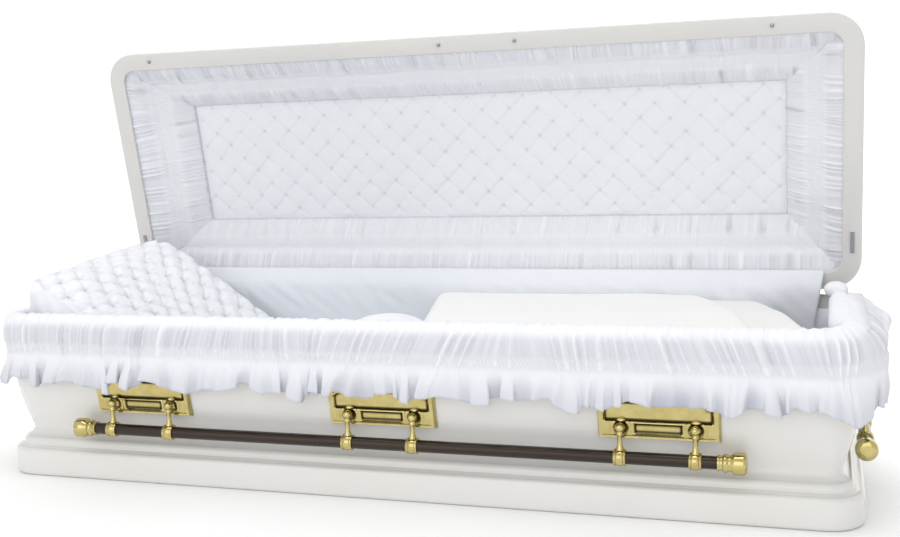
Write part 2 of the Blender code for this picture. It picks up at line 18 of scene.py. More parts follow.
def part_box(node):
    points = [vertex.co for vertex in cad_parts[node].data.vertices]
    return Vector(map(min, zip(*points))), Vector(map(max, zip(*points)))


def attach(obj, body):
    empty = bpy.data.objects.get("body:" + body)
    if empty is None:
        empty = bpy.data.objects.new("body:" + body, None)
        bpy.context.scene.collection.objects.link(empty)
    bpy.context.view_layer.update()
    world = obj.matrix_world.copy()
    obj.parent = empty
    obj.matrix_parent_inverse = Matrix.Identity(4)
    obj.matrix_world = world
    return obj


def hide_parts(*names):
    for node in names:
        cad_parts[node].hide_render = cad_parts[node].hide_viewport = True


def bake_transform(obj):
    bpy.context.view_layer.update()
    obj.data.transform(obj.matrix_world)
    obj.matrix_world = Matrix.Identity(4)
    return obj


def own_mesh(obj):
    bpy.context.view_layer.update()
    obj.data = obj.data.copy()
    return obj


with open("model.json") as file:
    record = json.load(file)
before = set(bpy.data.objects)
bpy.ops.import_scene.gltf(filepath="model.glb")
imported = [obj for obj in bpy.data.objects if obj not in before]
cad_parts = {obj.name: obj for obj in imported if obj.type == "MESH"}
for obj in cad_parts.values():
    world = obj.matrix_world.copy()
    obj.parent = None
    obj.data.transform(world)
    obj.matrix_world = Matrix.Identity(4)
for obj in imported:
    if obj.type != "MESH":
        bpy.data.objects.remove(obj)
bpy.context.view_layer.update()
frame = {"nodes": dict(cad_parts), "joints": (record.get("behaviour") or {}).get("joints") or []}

NODES = frame["nodes"]
JOINTS = {joint["name"]: joint for joint in frame["joints"]}
HINGE = np.array(JOINTS["lid_hinge"]["pos_m"])
OPEN = math.radians(JOINTS["lid_hinge"]["range_deg"][1])
print("frame:", len(NODES), "nodes, lid open by", round(math.degrees(OPEN), 1), "degrees")

# %% [markdown]
# ## The camera
# The photograph was taken from the right of the middle, a little above the rim, with a mild telephoto
# lens. The place, the direction of view and the small roll were found by fitting the casket's edges.

# %% Camera at the photograph's place
CAMERA_PLACE = (0.972, -2.763, 0.779)
CAMERA_LOOK = (-0.3114, 0.9456, -0.0944)
CAMERA_ROLL = math.radians(-1.49)
CAMERA_LENS = 46.1


def place_camera():
    """Point -Z of the camera along the look direction, with the roll taken about that line."""
    data = bpy.data.cameras.new("camera")
    data.lens, data.sensor_width = CAMERA_LENS, 36.0
    camera = bpy.data.objects.new("camera", data)
    bpy.context.scene.collection.objects.link(camera)
    turn = Vector(CAMERA_LOOK).to_track_quat("-Z", "Y")
    camera.matrix_world = (
        Matrix.Translation(CAMERA_PLACE) @ turn.to_matrix().to_4x4() @ Matrix.Rotation(CAMERA_ROLL, 4, "Z")
    )
    bpy.context.scene.camera = camera


place_camera()

# %% [markdown]
# ## Grids and lofts
# Nearly every piece here is a grid of points worked out as whole numpy arrays. One helper turns such a
# grid into a mesh. It can join the grid's first and last rows or columns, and cap its ends. The grids are
# about as fine as a pixel of the render, so that the whole casket stays under a million triangles.

# %% A grid of points becomes a mesh
def grid_quads(rows, cols, wrap_u, wrap_v):
    """Quad (i, j) joins the points (i, j), (i+1, j), (i+1, j+1) and (i, j+1), numbered row by row."""
    i = np.arange(rows if wrap_u else rows - 1)[:, None]
    j = np.arange(cols if wrap_v else cols - 1)[None, :]
    i1, j1 = (i + 1) % rows, (j + 1) % cols
    return np.stack([i * cols + j, i1 * cols + j, i1 * cols + j1, i * cols + j1], -1).reshape(-1, 4)


def mesh_from_grid(name, points, wrap_u=False, wrap_v=False, cap=False, toward=None, valley=None, **piece):
    """points has shape (rows, columns, 3). An open sheet's faces are turned toward a given direction, and a
    closed one's are turned outwards."""
    rows, cols = points.shape[:2]
    quads = grid_quads(rows, cols, wrap_u, wrap_v)
    co = points.reshape(-1, 3)
    if toward is not None:
        across = np.cross(co[quads[:, 2]] - co[quads[:, 0]], co[quads[:, 3]] - co[quads[:, 1]])
        if (across @ np.asarray(toward, float)).sum() < 0:
            quads = quads[:, ::-1]
    faces = quads.tolist()
    if cap:
        faces.append(list(range(cols)))
        faces.append(list(range((rows - 1) * cols, rows * cols))[::-1])
    mesh = bpy.data.meshes.new(name)
    mesh.from_pydata(co.tolist(), [], faces)
    mesh.update()
    # The painted shade, darkest in creases and hollows, is stored on the points for the materials.
    if valley is not None:
        set_valley(mesh, valley)
    return finish_piece(name, mesh, outwards=toward is None, **piece)


def closed_skin(name, rings, **piece):
    """A surface through closed rings, capped at both ends."""
    return mesh_from_grid(name, rings, wrap_v=True, cap=True, **piece)


def set_valley(mesh, valley):
    """Stores painted shade for each point, from 0 to 1: how far it lies sunk between its neighbours, for the
    materials to darken.
    """
    shade_mask = mesh.attributes.new("valley", "FLOAT", "POINT")
    shade_mask.data.foreach_set("value", np.ascontiguousarray(valley, np.float32).ravel())


def finish_piece(name, mesh, body=None, slot=None, material=None, outwards=True):
    """Links the mesh as an object at the origin and makes it ride on its body."""
    if outwards:
        shape = bmesh.new()
        shape.from_mesh(mesh)
        bmesh.ops.recalc_face_normals(shape, faces=shape.faces)
        shape.to_mesh(mesh)
        shape.free()
    piece = bpy.data.objects.new(name, mesh)
    bpy.context.scene.collection.objects.link(piece)
    mesh.shade_smooth()
    if material is not None:
        mesh.materials.append(material)
    if body is not None:
        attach(piece, body)
    return piece


def backed(front, offset, valley):
    """Adds a flat back to a padded strip: one more column behind each edge of the front."""
    back = np.stack([front[:, -1] + offset, front[:, 0] + offset], 1)
    return np.concatenate([front, back], 1), np.concatenate([valley, np.zeros((len(front), 2))], 1)


def sharpen(piece, degrees):
    """Edges that turn by more than this stay crisp."""
    piece.data.set_sharp_from_angle(angle=math.radians(degrees))


def thicken(piece, thickness):
    """A sheet gets its wall, behind its face."""
    wall = piece.modifiers.new("wall", "SOLIDIFY")
    wall.thickness, wall.offset = thickness, -1.0


def node_corners(node):
    """The low and the high corner of a node's box."""
    return [np.array(corner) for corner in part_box(node)]


def pad(node):
    """Hides the plain solid that a padded piece stands for."""
    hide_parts(node)


def noise_1d(x, seed, count=24, longest=1.0, shortest=0.02):
    """Smooth noise of mean 0 and rms about 1: a sum of sines with random phases and wavelengths."""
    rng = np.random.default_rng(seed)
    wavelength = np.exp(rng.uniform(np.log(shortest), np.log(longest), count))
    phase = rng.uniform(0, 2 * np.pi, count)
    x = np.asarray(x, float)
    return sum(np.sin(2 * np.pi * x / w + p) for w, p in zip(wavelength, phase)) * math.sqrt(2 / count)


def smoothstep(a, b, x):
    """0 below a, 1 above b, and a cubic ease between."""
    t = np.clip((x - a) / (b - a), 0, 1)
    return t * t * (3 - 2 * t)


# %% [markdown]
# ## Finishes
# Each finish is a Principled shader whose colour, roughness and bump come from procedural nodes on Object
# coordinates, so that nothing slides when the casket is seen from another side. One small function adds a
# node.

# %% Colours and nodes
def linear(hex_colour):
    """An sRGB hex value as linear RGBA."""
    value = [int(hex_colour[i:i + 2], 16) / 255 for i in (1, 3, 5)]
    return [c / 12.92 if c <= 0.04045 else ((c + 0.055) / 1.055) ** 2.4 for c in value] + [1.0]


def add_node(tree, kind, inputs=None, **settings):
    """Adds a node, sets its properties, and sets or links its inputs."""
    node = tree.nodes.new(kind)
    for key, value in settings.items():
        setattr(node, key, value)
    for key, value in (inputs or {}).items():
        if isinstance(value, bpy.types.NodeSocket):
            tree.links.new(value, node.inputs[key])
        else:
            node.inputs[key].default_value = value
    return node


def new_material(name, colour, roughness, metallic=0.0):
    material = bpy.data.materials.new(name)
    material.use_nodes = True
    shader = material.node_tree.nodes["Principled BSDF"]
    shader.inputs["Base Color"].default_value = linear(colour)
    shader.inputs["Roughness"].default_value = roughness
    shader.inputs["Metallic"].default_value = metallic
    return material, material.node_tree, shader


def object_coordinates(tree):
    return add_node(tree, "ShaderNodeTexCoord").outputs["Object"]


def mix_colours(tree, factor, one, two):
    """The colour between one and two, given as linear colours or as node outputs."""
    return add_node(tree, "ShaderNodeMix", {0: factor, 6: one, 7: two}, data_type="RGBA").outputs[2]


def valley_depth(tree):
    """The painted shade stored on the points, which is 0 on a piece without it."""
    return add_node(tree, "ShaderNodeAttribute", attribute_name="valley").outputs["Fac"]


def vary_colour(tree, shader, factor, dark, light):
    """The colour runs between two near tones with a pattern."""
    tree.links.new(mix_colours(tree, factor, linear(dark), linear(light)), shader.inputs["Base Color"])


def vary_roughness(tree, shader, factor, low, high):
    span = add_node(tree, "ShaderNodeMapRange", {"Value": factor, "To Min": low, "To Max": high})
    tree.links.new(span.outputs[0], shader.inputs["Roughness"])


def bump(tree, shader, height, distance, strength=1.0):
    """distance is the relief's real height in metres."""
    node = add_node(tree, "ShaderNodeBump", {"Height": height, "Distance": distance, "Strength": strength})
    tree.links.new(node.outputs[0], shader.inputs["Normal"])


def noise(tree, vector, size_mm, detail=3.0, rough=0.5):
    """Noise whose main lumps are size_mm across."""
    node = add_node(
        tree, "ShaderNodeTexNoise",
        {"Vector": vector, "Scale": 1000.0 / size_mm, "Detail": detail, "Roughness": rough},
    )
    return node.outputs[0]


# %% [markdown]
# ### Enamel
# Sprayed and baked white enamel on steel is glossy, with a very faint orange peel that softens reflections.

# %% Baked enamel
def baked_enamel(name, base, dark, light):
    material, tree, shader = new_material(name, base, 0.22)
    place = object_coordinates(tree)
    vary_colour(tree, shader, noise(tree, place, 260, 2), dark, light)
    vary_roughness(tree, shader, noise(tree, place, 90, 3), 0.17, 0.27)
    bump(tree, shader, noise(tree, place, 7, 1), 0.00012, 0.35)
    shader.inputs["IOR"].default_value = 1.5
    shader.inputs["Coat Weight"].default_value = 0.35
    shader.inputs["Coat Roughness"].default_value = 0.08
    return material


# %% [markdown]
# ### Cloth
# The lining is crepe, a light matt cloth with a crinkled weave. Its thread spacing is about 0.3 mm, too
# fine to show, so the crinkle is drawn at a few millimetres. The throw is a short-pile velvet, warmer and
# smoother.

# %% Crepe and velvet
def cloth(name, crease_shade, dark, light, crinkle_mm, relief, roughness, sheen):
    material, tree, shader = new_material(name, light, roughness)
    place = object_coordinates(tree)
    coarse = noise(tree, place, 60, 3)
    fine = noise(tree, place, crinkle_mm, 4, 0.6)
    tone = mix_colours(tree, coarse, linear(dark), linear(light))
    # Painted shade: by the stored shade, the tone darkens towards the second colour given, where a point lies
    # sunk in a crease or hollow.
    tree.links.new(mix_colours(tree, valley_depth(tree), tone, linear(crease_shade)), shader.inputs["Base Color"])
    weave = add_node(tree, "ShaderNodeTexWave", {"Vector": place, "Scale": 160.0, "Distortion": 6.0,
                                                "Detail": 1.0, "Detail Scale": 2.0}, wave_profile="SIN")
    both = add_node(tree, "ShaderNodeMath", {0: fine, 1: weave.outputs[1]}, operation="ADD")
    bump(tree, shader, both.outputs[0], relief, 0.5)
    shader.inputs["Sheen Weight"].default_value = sheen
    shader.inputs["Sheen Roughness"].default_value = 0.5
    shader.inputs["Specular IOR Level"].default_value = 0.25
    return material


# %% [markdown]
# ### Metals
# The castings are polished and gold plated: a pale, bright yellow with sharp reflections and small uneven
# spots. The bars are steel tube under dark bronze lacquer. Studs and catches are zinc-plated steel.

# %% Gold plate, bronze lacquer and zinc
def plated_metal(name, dark, light, rough_low, rough_high, size_mm, recess_shade=None):
    """The last argument is the dark colour painted into the castings' hollows by the stored painted shade:
    painted shade, where less light reaches.
    """
    material, tree, shader = new_material(name, light, rough_low, 1.0)
    place = object_coordinates(tree)
    spots = noise(tree, place, size_mm, 4, 0.55)
    vary_colour(tree, shader, spots, dark, light)
    if recess_shade:
        tone = shader.inputs["Base Color"].links[0].from_socket
        darker = mix_colours(tree, valley_depth(tree), tone, linear(recess_shade))
        tree.links.new(darker, shader.inputs["Base Color"])
    vary_roughness(tree, shader, spots, rough_low, rough_high)
    bump(tree, shader, noise(tree, place, size_mm / 3, 2), 0.00008, 0.25)
    return material


def bronze_lacquer():
    material, tree, shader = new_material("dark_bronze_lacquer", "#30251D", 0.3, 0.75)
    place = object_coordinates(tree)
    streak = add_node(tree, "ShaderNodeMapping", {"Vector": place, "Scale": (0.02, 1.0, 1.0)})
    grain = noise(tree, streak.outputs[0], 4, 4)
    vary_colour(tree, shader, grain, "#241B15", "#3A2C20")
    vary_roughness(tree, shader, grain, 0.24, 0.36)
    shader.inputs["Coat Weight"].default_value = 0.4
    shader.inputs["Coat Roughness"].default_value = 0.12
    return material


# In the photograph the lid's flange reads a shade greyer than the shell, so the lid gets a darker copy of the
# same enamel: painted shade.
ENAMEL = baked_enamel("baked_white_enamel", "#DCDBD7", "#D9D8D4", "#DFDEDB")
SHADED_LID_ENAMEL = baked_enamel("shaded_lid_enamel", "#CFCECB", "#CCCBC8", "#D2D1CE")
CREPE = cloth("white_crepe", "#A4A6B4", "#E8E9EE", "#EDEEF2", 5.0, 0.0005, 0.85, 0.15)
SATIN = cloth("white_lining_cloth", "#B0B4C0", "#E1E4EA", "#E7EAEF", 9.0, 0.0004, 0.75, 0.15)
VELVET = cloth("ivory_velvet", "#C8C6C0", "#E9E9E7", "#EEEEEC", 3.0, 0.0003, 0.9, 0.25)
CREAM = cloth("cream_velvet", "#C8C6C0", "#E5E5E3", "#E9E9E7", 3.0, 0.0003, 0.9, 0.25)
GOLD = plated_metal("gold_plate", "#B09D60", "#D8CC90", 0.10, 0.22, 22, "#2E2812")
BRONZE = bronze_lacquer()
ZINC = plated_metal("zinc_plate", "#84888D", "#AFB2B6", 0.3, 0.45, 9)
LID_CREPE = {"body": "lid_body", "slot": "crepe", "material": CREPE}
BOX_CREPE = {"body": "casket", "slot": "crepe", "material": CREPE}
BOX_SATIN = {"body": "casket", "slot": "crepe", "material": SATIN}
print("finishes:", len(bpy.data.materials))

# %% [markdown]
# ## Shell
# The steel box is pressed from sheet: an upright plinth with a rounded foot, a stepped ogee up to a
# narrow waist, and a flank that flares to the rim. It is one profile carried round a rectangle with
# rounded corners. The profile goes up the outside, over the rolled rim and down the inside, so the wall
# has its real thickness.

# %% Sizes of the shell, from the frame and the real sheet
HALF_LENGTH, HALF_WIDTH, RIM_Z = node_corners("shell")[1]
SHEET = 0.0016
CORNER_RADIUS = 0.085
PLINTH_HEIGHT, PLINTH_ROUND = 0.070, 0.010
WAIST_Z, WAIST_DEPTH, STEP_DEPTH = 0.119, 0.046, 0.020
RIM_LIP = 0.014


def rounded_rectangle(half_x, half_y, radius, corner_steps=14, side_steps=10):
    """(points, outward normals) of a rectangle with quarter-circle corners, counter-clockwise."""
    angle = np.linspace(0, np.pi / 2, corner_steps + 1)
    points, normals = [], []
    signs = ((1, 1), (-1, 1), (-1, -1), (1, -1))
    for k, (sx, sy) in enumerate(signs):
        turn = angle + k * np.pi / 2
        normal = np.stack([np.cos(turn), np.sin(turn)], -1)
        centre = np.array([sx * (half_x - radius), sy * (half_y - radius)])
        arc = centre + radius * normal
        points.append(arc)
        normals.append(normal)
        nx, ny = signs[(k + 1) % 4]
        start = np.array([nx * (half_x - radius), ny * (half_y - radius)])
        first = start + radius * normal[-1]
        share = np.linspace(0, 1, side_steps + 1)[1:-1, None]
        points.append(arc[-1] + (first - arc[-1]) * share)
        normals.append(np.repeat(normal[-1:], side_steps - 1, 0))
    return np.concatenate(points), np.concatenate(normals)


def carry_profile(profile, half_x, half_y, radius):
    """Each profile point is (inset, height). The outline and its corners shrink by the inset."""
    rings = []
    for inset, height in profile:
        flat, _ = rounded_rectangle(half_x - inset, half_y - inset, max(radius - inset, 0.004))
        rings.append(np.column_stack([flat, np.full(len(flat), height)]))
    return np.stack(rings)


def arc_points(centre, radius, start_deg, end_deg, steps=6):
    """Points on a circle in the profile's plane."""
    angle = np.radians(np.linspace(start_deg, end_deg, steps + 1))
    return np.column_stack([centre[0] + radius * np.cos(angle), centre[1] + radius * np.sin(angle)])


# %% The shell's profile
def flank_inset(height):
    """The flank sweeps out from the waist: depth * (1 - sin(90 degrees * share of height)) ** 1.6."""
    share = np.clip((height - WAIST_Z) / (RIM_Z - WAIST_Z), 0, 1)
    return WAIST_DEPTH * (1 - np.sin(np.pi / 2 * share)) ** 1.6


def shell_profile():
    """(inset, height) up the outside: rounded foot, plinth, bead, step, cove and flank."""
    foot = arc_points((PLINTH_ROUND, PLINTH_ROUND), PLINTH_ROUND, 270, 180)
    shoulder = arc_points((PLINTH_ROUND, PLINTH_HEIGHT - PLINTH_ROUND), PLINTH_ROUND, 180, 100)
    rise = WAIST_Z - PLINTH_HEIGHT
    t = np.linspace(0, 1, 10)[:, None]
    tread = np.hstack([STEP_DEPTH * (0.62 + 0.38 * t), PLINTH_HEIGHT + 0.10 * rise * t])
    bead = np.hstack([STEP_DEPTH * (1 + 0.35 * t ** 3), PLINTH_HEIGHT + rise * (0.10 + 0.38 * t)])
    u = np.linspace(0, 1, 14)[1:, None]
    cove = np.hstack([STEP_DEPTH * 1.35 + (WAIST_DEPTH - STEP_DEPTH * 1.35) * np.sin(np.pi / 2 * u),
                      PLINTH_HEIGHT + rise * (0.48 + 0.52 * u ** 1.6)])
    height = WAIST_Z + (RIM_Z - WAIST_Z) * np.linspace(0, 1, 26)[1:]
    flank = np.column_stack([flank_inset(height), height])
    return np.vstack([foot, shoulder, tread, bead[1:], cove, flank])


def build_shell():
    outer = shell_profile()
    lip = np.array([[RIM_LIP, RIM_Z], [RIM_LIP, RIM_Z - SHEET]])
    inner = outer[4:] + np.array([SHEET, 0.0])
    inner[:, 1] = np.minimum(inner[:, 1], RIM_Z - SHEET)
    floor = np.array([[2 * PLINTH_ROUND, SHEET]])
    profile = np.vstack([outer, lip, inner[::-1], floor])
    rings = carry_profile(profile, HALF_LENGTH, HALF_WIDTH, CORNER_RADIUS)
    shell = closed_skin("steel_shell", rings, body="casket", slot="enamel", material=ENAMEL)
    sharpen(shell, 50)
    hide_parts("shell")


build_shell()

# %% [markdown]
# ## Lid
# The lid is another pressing: an upright edge, a cove and a shallow crown, with its lower edge turned in
# to a flat flange. It is worked out closed, with y measured from the hinge line, and then swung open
# about that line.

# %% Swing a closed-lid point to its open place
LID_LENGTH, LID_WIDTH, LID_DEPTH = 2.110, 0.707, 0.165
LID_HALF = LID_LENGTH / 2
LID_EDGE_HEIGHT, LID_SHOULDER, LID_CORNER = 0.030, 0.075, 0.085
FLANGE = 0.048


def swing_open(points):
    """Turn about the hinge's X line by the open angle: y' = y cos + z sin, z' = -y sin + z cos."""
    out = np.array(points, float)
    y, z = out[..., 1].copy(), out[..., 2].copy()
    out[..., 1] = HINGE[1] + y * math.cos(OPEN) + z * math.sin(OPEN)
    out[..., 2] = HINGE[2] - y * math.sin(OPEN) + z * math.cos(OPEN)
    return out


def lid_profile():
    """(inset, height) up the outside of the closed lid to its crown."""
    edge = np.vstack([arc_points((0.004, 0.004), 0.004, 270, 180), [[0.0, LID_EDGE_HEIGHT - 0.004]]])
    bead = np.array([[0.0015, 0.0], [0.006, 0.002], [0.006, 0.006]]) + (0, LID_EDGE_HEIGHT)
    rise = LID_DEPTH * 0.78
    angle = np.linspace(0, np.pi / 2, 15)[1:]
    cove = np.column_stack([0.006 + LID_SHOULDER * (1 - np.cos(angle)),
                            LID_EDGE_HEIGHT + 0.006 + (rise - LID_EDGE_HEIGHT) * np.sin(angle)])
    step = np.array([[LID_SHOULDER + 0.012, rise + 0.0075], [LID_SHOULDER + 0.0135, rise + 0.014],
                     [LID_SHOULDER + 0.02, rise + 0.016]])
    crown = np.linspace(0, 1, 9)[1:]
    top = np.column_stack([LID_SHOULDER + 0.02 + 0.11 * crown,
                           rise + 0.016 + (LID_DEPTH - rise - 0.016) * np.sin(np.pi / 2 * crown)])
    return np.vstack([edge, bead, cove, step, top])


def build_lid():
    outer = lid_profile()
    flange = np.array([[FLANGE - 0.003, 0.0], [FLANGE - 0.001, 0.0008], [FLANGE, 0.003],
                       [FLANGE, 0.003 + SHEET], [SHEET + 0.004, 0.003 + SHEET]])
    inner = outer[6:] + np.array([SHEET, 0.0])
    inner[:, 1] -= SHEET * (inner[:, 1] > LID_EDGE_HEIGHT)
    profile = np.vstack([outer[::-1], flange, inner])
    rings = carry_profile(profile, LID_HALF, LID_WIDTH / 2, LID_CORNER)
    rings[..., 1] -= LID_WIDTH / 2
    lid = closed_skin("steel_lid", swing_open(rings), body="lid_body", slot="enamel", material=SHADED_LID_ENAMEL)
    sharpen(lid, 50)
    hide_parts("lid")


build_lid()

# %% [markdown]
# ## Quilted panel
# The middle of the lid's lining is thinly padded crepe, tied down at the corners of a diamond grid. It is
# almost flat: each tie is a small dent, and fine creases run from tie to tie along both diagonals.

# %% Tufted padding
QUILT_DEPTH, QUILT_SIDE_MARGIN = 0.100, 0.172
QUILT_HEAD_MARGIN, QUILT_FOOT_MARGIN = 0.206, 0.182
QUILT_BACK = 0.122
QUILT_GRID = (560, 132)
DIAMOND_X, DIAMOND_Y = 0.0800, 0.0790


def tufting(x, y, one, two, swell, crease, tie, puckers, seed):
    """(height, painted shade) of padding tied down at a * one + b * two for whole a and b. The padding swells
    as
    |sin(pi a) sin(pi b)| ** 0.6, creases are narrow grooves on the lines of whole a or b, and a tie is a
    bell-shaped dent with wrinkles round it. The painted shade is darkest in the ties' dents and along the
    creases."""
    area = one[0] * two[1] - one[1] * two[0]
    bend = 0.0012 * noise_1d(x + 0.37 * y, seed, 14, 0.2, 0.03)
    a = ((x + bend) * two[1] - y * two[0]) / area
    b = (y * one[0] - (x - bend) * one[1]) / area
    da, db = a - np.round(a), b - np.round(b)
    to_a, to_b = da * area / math.hypot(*two), db * area / math.hypot(*one)
    rise = np.abs(np.sin(np.pi * a) * np.sin(np.pi * b)) ** 0.6
    groove = np.maximum(np.exp(-(to_a / 0.0016) ** 2), np.exp(-(to_b / 0.0016) ** 2))
    fade = 0.55 + 0.45 * np.clip(noise_1d(1.9 * x + 3.1 * y, seed + 1, 10, 0.5, 0.12), -1, 1)
    dx, dy = da * one[0] + db * two[0], da * one[1] + db * two[1]
    reach = np.hypot(dx, dy)
    dent = np.exp(-(reach / 0.0042) ** 2)
    turn = np.arctan2(dy, dx) * 7 + 5 * np.sin(np.round(a) * 2.3 + np.round(b) * 1.7)
    rays = np.sin(turn) * np.exp(-((reach - 0.012) / 0.009) ** 2)
    height = swell * rise - crease * groove * fade - tie * dent + puckers * rays
    return height, np.clip(dent + 0.35 * groove * fade, 0, 1)


# %% Quilted panel
def build_quilted_panel():
    x0, x1 = -LID_HALF + QUILT_HEAD_MARGIN, LID_HALF - QUILT_FOOT_MARGIN
    near, far = -QUILT_SIDE_MARGIN, -(LID_WIDTH - QUILT_SIDE_MARGIN)
    x = np.linspace(x0, x1, QUILT_GRID[0])[:, None]
    y = np.linspace(far, near, QUILT_GRID[1])[None, :]
    edge = np.minimum(np.minimum(x - x0, x1 - x), np.minimum(y - far, near - y))
    one, two = (DIAMOND_X / 2, DIAMOND_Y / 2), (DIAMOND_X / 2, -DIAMOND_Y / 2)
    middle = (near + far) / 2
    height, valley = tufting(x - 0.012, y - middle + 0.012, one, two, 0.0025, 0.0011, 0.0022, 0.0005, 5)
    ease = smoothstep(0, 0.02, edge)
    sag = 0.0016 * noise_1d(x * 1.3 + y * 0.7, 5, 10, 0.9, 0.25) * ease
    z = QUILT_DEPTH + 0.009 - height * ease - sag
    front = np.stack([x + 0 * y, y + 0 * x, z], -1)
    # Painted shade of the ties and creases, fading out towards the panel's edges.
    grid, valley = backed(front, (0, 0, QUILT_BACK - QUILT_DEPTH), 0.34 * valley * ease)
    panel = closed_skin("quilted_lid_panel", swing_open(grid), valley=valley, **LID_CREPE)
    pad("lid_quilted_panel")


build_quilted_panel()

# %% [markdown]
# ## Shirred borders
# Between the flange and the panel run four slanting borders of gathered crepe, mitred at the corners. The
# gathers start under the flange, are drawn in by several rows of stitches across the middle, and run out
# over a full roll that turns down on to the panel in small puckers.

# %% Gathers
def gathers(along, spacing, seed, sharp=1.6):
    """Ridges (0.5 + 0.5 cos) ** sharp of a phase that grows by one per gather. The phase drifts, so that
    the spacing is uneven, and so does the height from one gather to the next."""
    drift = noise_1d(along, seed, 24, spacing * 40, spacing * 2.4) * spacing * 0.5
    tall = np.clip(0.7 + 0.4 * noise_1d(along, seed + 1, 24, spacing * 12, spacing * 1.6), 0.15, 1.4)
    return (0.5 + 0.5 * np.cos(2 * np.pi * (along + drift) / spacing)) ** sharp * tall


def smocking(along, across, spacing, row):
    """Tiny puffs in staggered rows: cos(2 pi along / spacing), turned over in every other row."""
    number = np.round(across / row)
    return np.cos(2 * np.pi * along / spacing + np.pi * number) * np.cos(np.pi * (across / row - number)) ** 2


BORDER_OVER_PANEL = 0.003
BORDER_UNDER_FLANGE = 0.008
BORDER_START = 0.0075
SMOCK = (0.38, 0.60)
BORDER_STEP, BORDER_ROWS = 0.0021, 40


def border_surface(outer_a, outer_b, inner_a, inner_b, inward, seed):
    """(points, painted shade) of a strip with its outer edge from outer_a to outer_b and a mitred inner one.
    """
    outer_a, outer_b, inner_a, inner_b = (np.array(p, float) for p in (outer_a, outer_b, inner_a, inner_b))
    length = np.linalg.norm(outer_b - outer_a)
    s = np.linspace(0, 1, int(length / BORDER_STEP))[:, None]
    w = np.linspace(0, 1, BORDER_ROWS)[None, :]
    low = outer_a + (outer_b - outer_a) * s[..., None]
    high = inner_a + (inner_b - inner_a) * s[..., None]
    flat = low + (high - low) * w[..., None]
    width = np.linalg.norm((inner_a - outer_a) * np.abs(inward))
    along = (flat - outer_a) @ ((outer_b - outer_a) / length)
    lean = along + 0.007 * noise_1d(along, seed + 3, 8, 0.6, 0.10) * w
    in_smock = smoothstep(SMOCK[0] - 0.04, SMOCK[0] + 0.02, w)
    in_smock = in_smock * (1 - smoothstep(SMOCK[1] - 0.02, SMOCK[1] + 0.04, w))
    outside = 1 - smoothstep(SMOCK[0] - 0.12, SMOCK[0] + 0.04, w)
    inside = smoothstep(SMOCK[1] - 0.04, SMOCK[1] + 0.10, w)
    coarse, fine = gathers(lean, 0.0145, seed, 1.8), gathers(lean, 0.0078, seed + 5, 1.2)
    other = gathers(along - 0.006 * w, 0.0125, seed + 13, 1.8)
    runs = (0.0044 * coarse + 0.0016 * fine) * outside * (0.6 + 0.4 * smoothstep(0.0, 0.10, w))
    runs = runs + (0.0036 * other + 0.0010 * fine) * inside * (1 - 0.35 * smoothstep(0.72, 0.90, w))
    puckers = 0.0020 * gathers(along, 0.0105, seed + 9) * smoothstep(0.92, 1.0, w)
    dots = smocking(along, w * width, 0.0068, 0.0082)
    small = (0.0012 * dots + 0.0009 * fine) * in_smock
    roll = 0.004 * np.sin(np.pi * np.clip(w / 0.46, 0, 1))
    roll = roll + 0.0105 * np.sin(np.pi * np.clip((w - 0.44) / 0.56, 0, 1)) ** 0.8
    lift = roll + runs + small + puckers
    lift = lift + 0.0016 * noise_1d(along, seed + 7, 12, 0.6, 0.1) * np.sin(np.pi * w)
    slant = math.atan2(QUILT_DEPTH - BORDER_START, width)
    toward = np.array(inward, float) * math.sin(slant)
    z = BORDER_START + (QUILT_DEPTH + 0.004 - BORDER_START) * w
    points = np.stack([flat[..., 0] + toward[0] * lift, flat[..., 1] + toward[1] * lift,
                       z - math.cos(slant) * lift], -1)
    # Painted shade: darker between the gathers and the smock puffs, under the flange and where the roll turns
    # down on to the panel.
    shade_mask = (1 - np.clip(0.75 * coarse + 0.25 * fine, 0, 1)) * 0.24 * outside
    shade_mask = shade_mask + (1 - np.clip(0.8 * other + 0.2 * fine, 0, 1)) * 0.15 * inside
    shade_mask = shade_mask + in_smock * (0.10 - 0.12 * dots)
    shade_mask = shade_mask + 0.25 * smoothstep(0.03, 0.0, w) + 0.35 * smoothstep(0.97, 1.0, w)
    return points, np.clip(shade_mask, 0, 1)


def build_borders():
    outer = LID_HALF - FLANGE + BORDER_UNDER_FLANGE
    head = -LID_HALF + QUILT_HEAD_MARGIN + BORDER_OVER_PANEL
    foot = LID_HALF - QUILT_FOOT_MARGIN - BORDER_OVER_PANEL
    near0, near1 = -(FLANGE - BORDER_UNDER_FLANGE), -(QUILT_SIDE_MARGIN + BORDER_OVER_PANEL)
    far0, far1 = -LID_WIDTH - near0, -LID_WIDTH - near1
    strips = (
        ("hinge", (-outer, near0), (outer, near0), (head, near1), (foot, near1), (0, -1), 11),
        ("front", (-outer, far0), (outer, far0), (head, far1), (foot, far1), (0, 1), 23),
        ("head", (-outer, near0), (-outer, far0), (head, near1), (head, far1), (1, 0), 37),
        ("foot", (outer, near0), (outer, far0), (foot, near1), (foot, far1), (-1, 0), 41),
    )
    for name, a, b, c, d, inward, seed in strips:
        front, valley = border_surface(a, b, c, d, inward, seed)
        grid, valley = backed(front, (0, 0, 0.012), valley)
        border = closed_skin("shirred_border_" + name, swing_open(grid), valley=valley, **LID_CREPE)
        pad("lid_border_" + name)


build_borders()

# %% [markdown]
# ## Apron
# A gathered skirt of crepe hangs over the rim on the front and both ends. It is one cloth: it is hooked
# inside the rim, puffs up over it, falls in slanting gathers to a smocked band, and ends in a loose
# ruffle.

# %% The path along the rim
APRON_BACK_GAP = 0.110


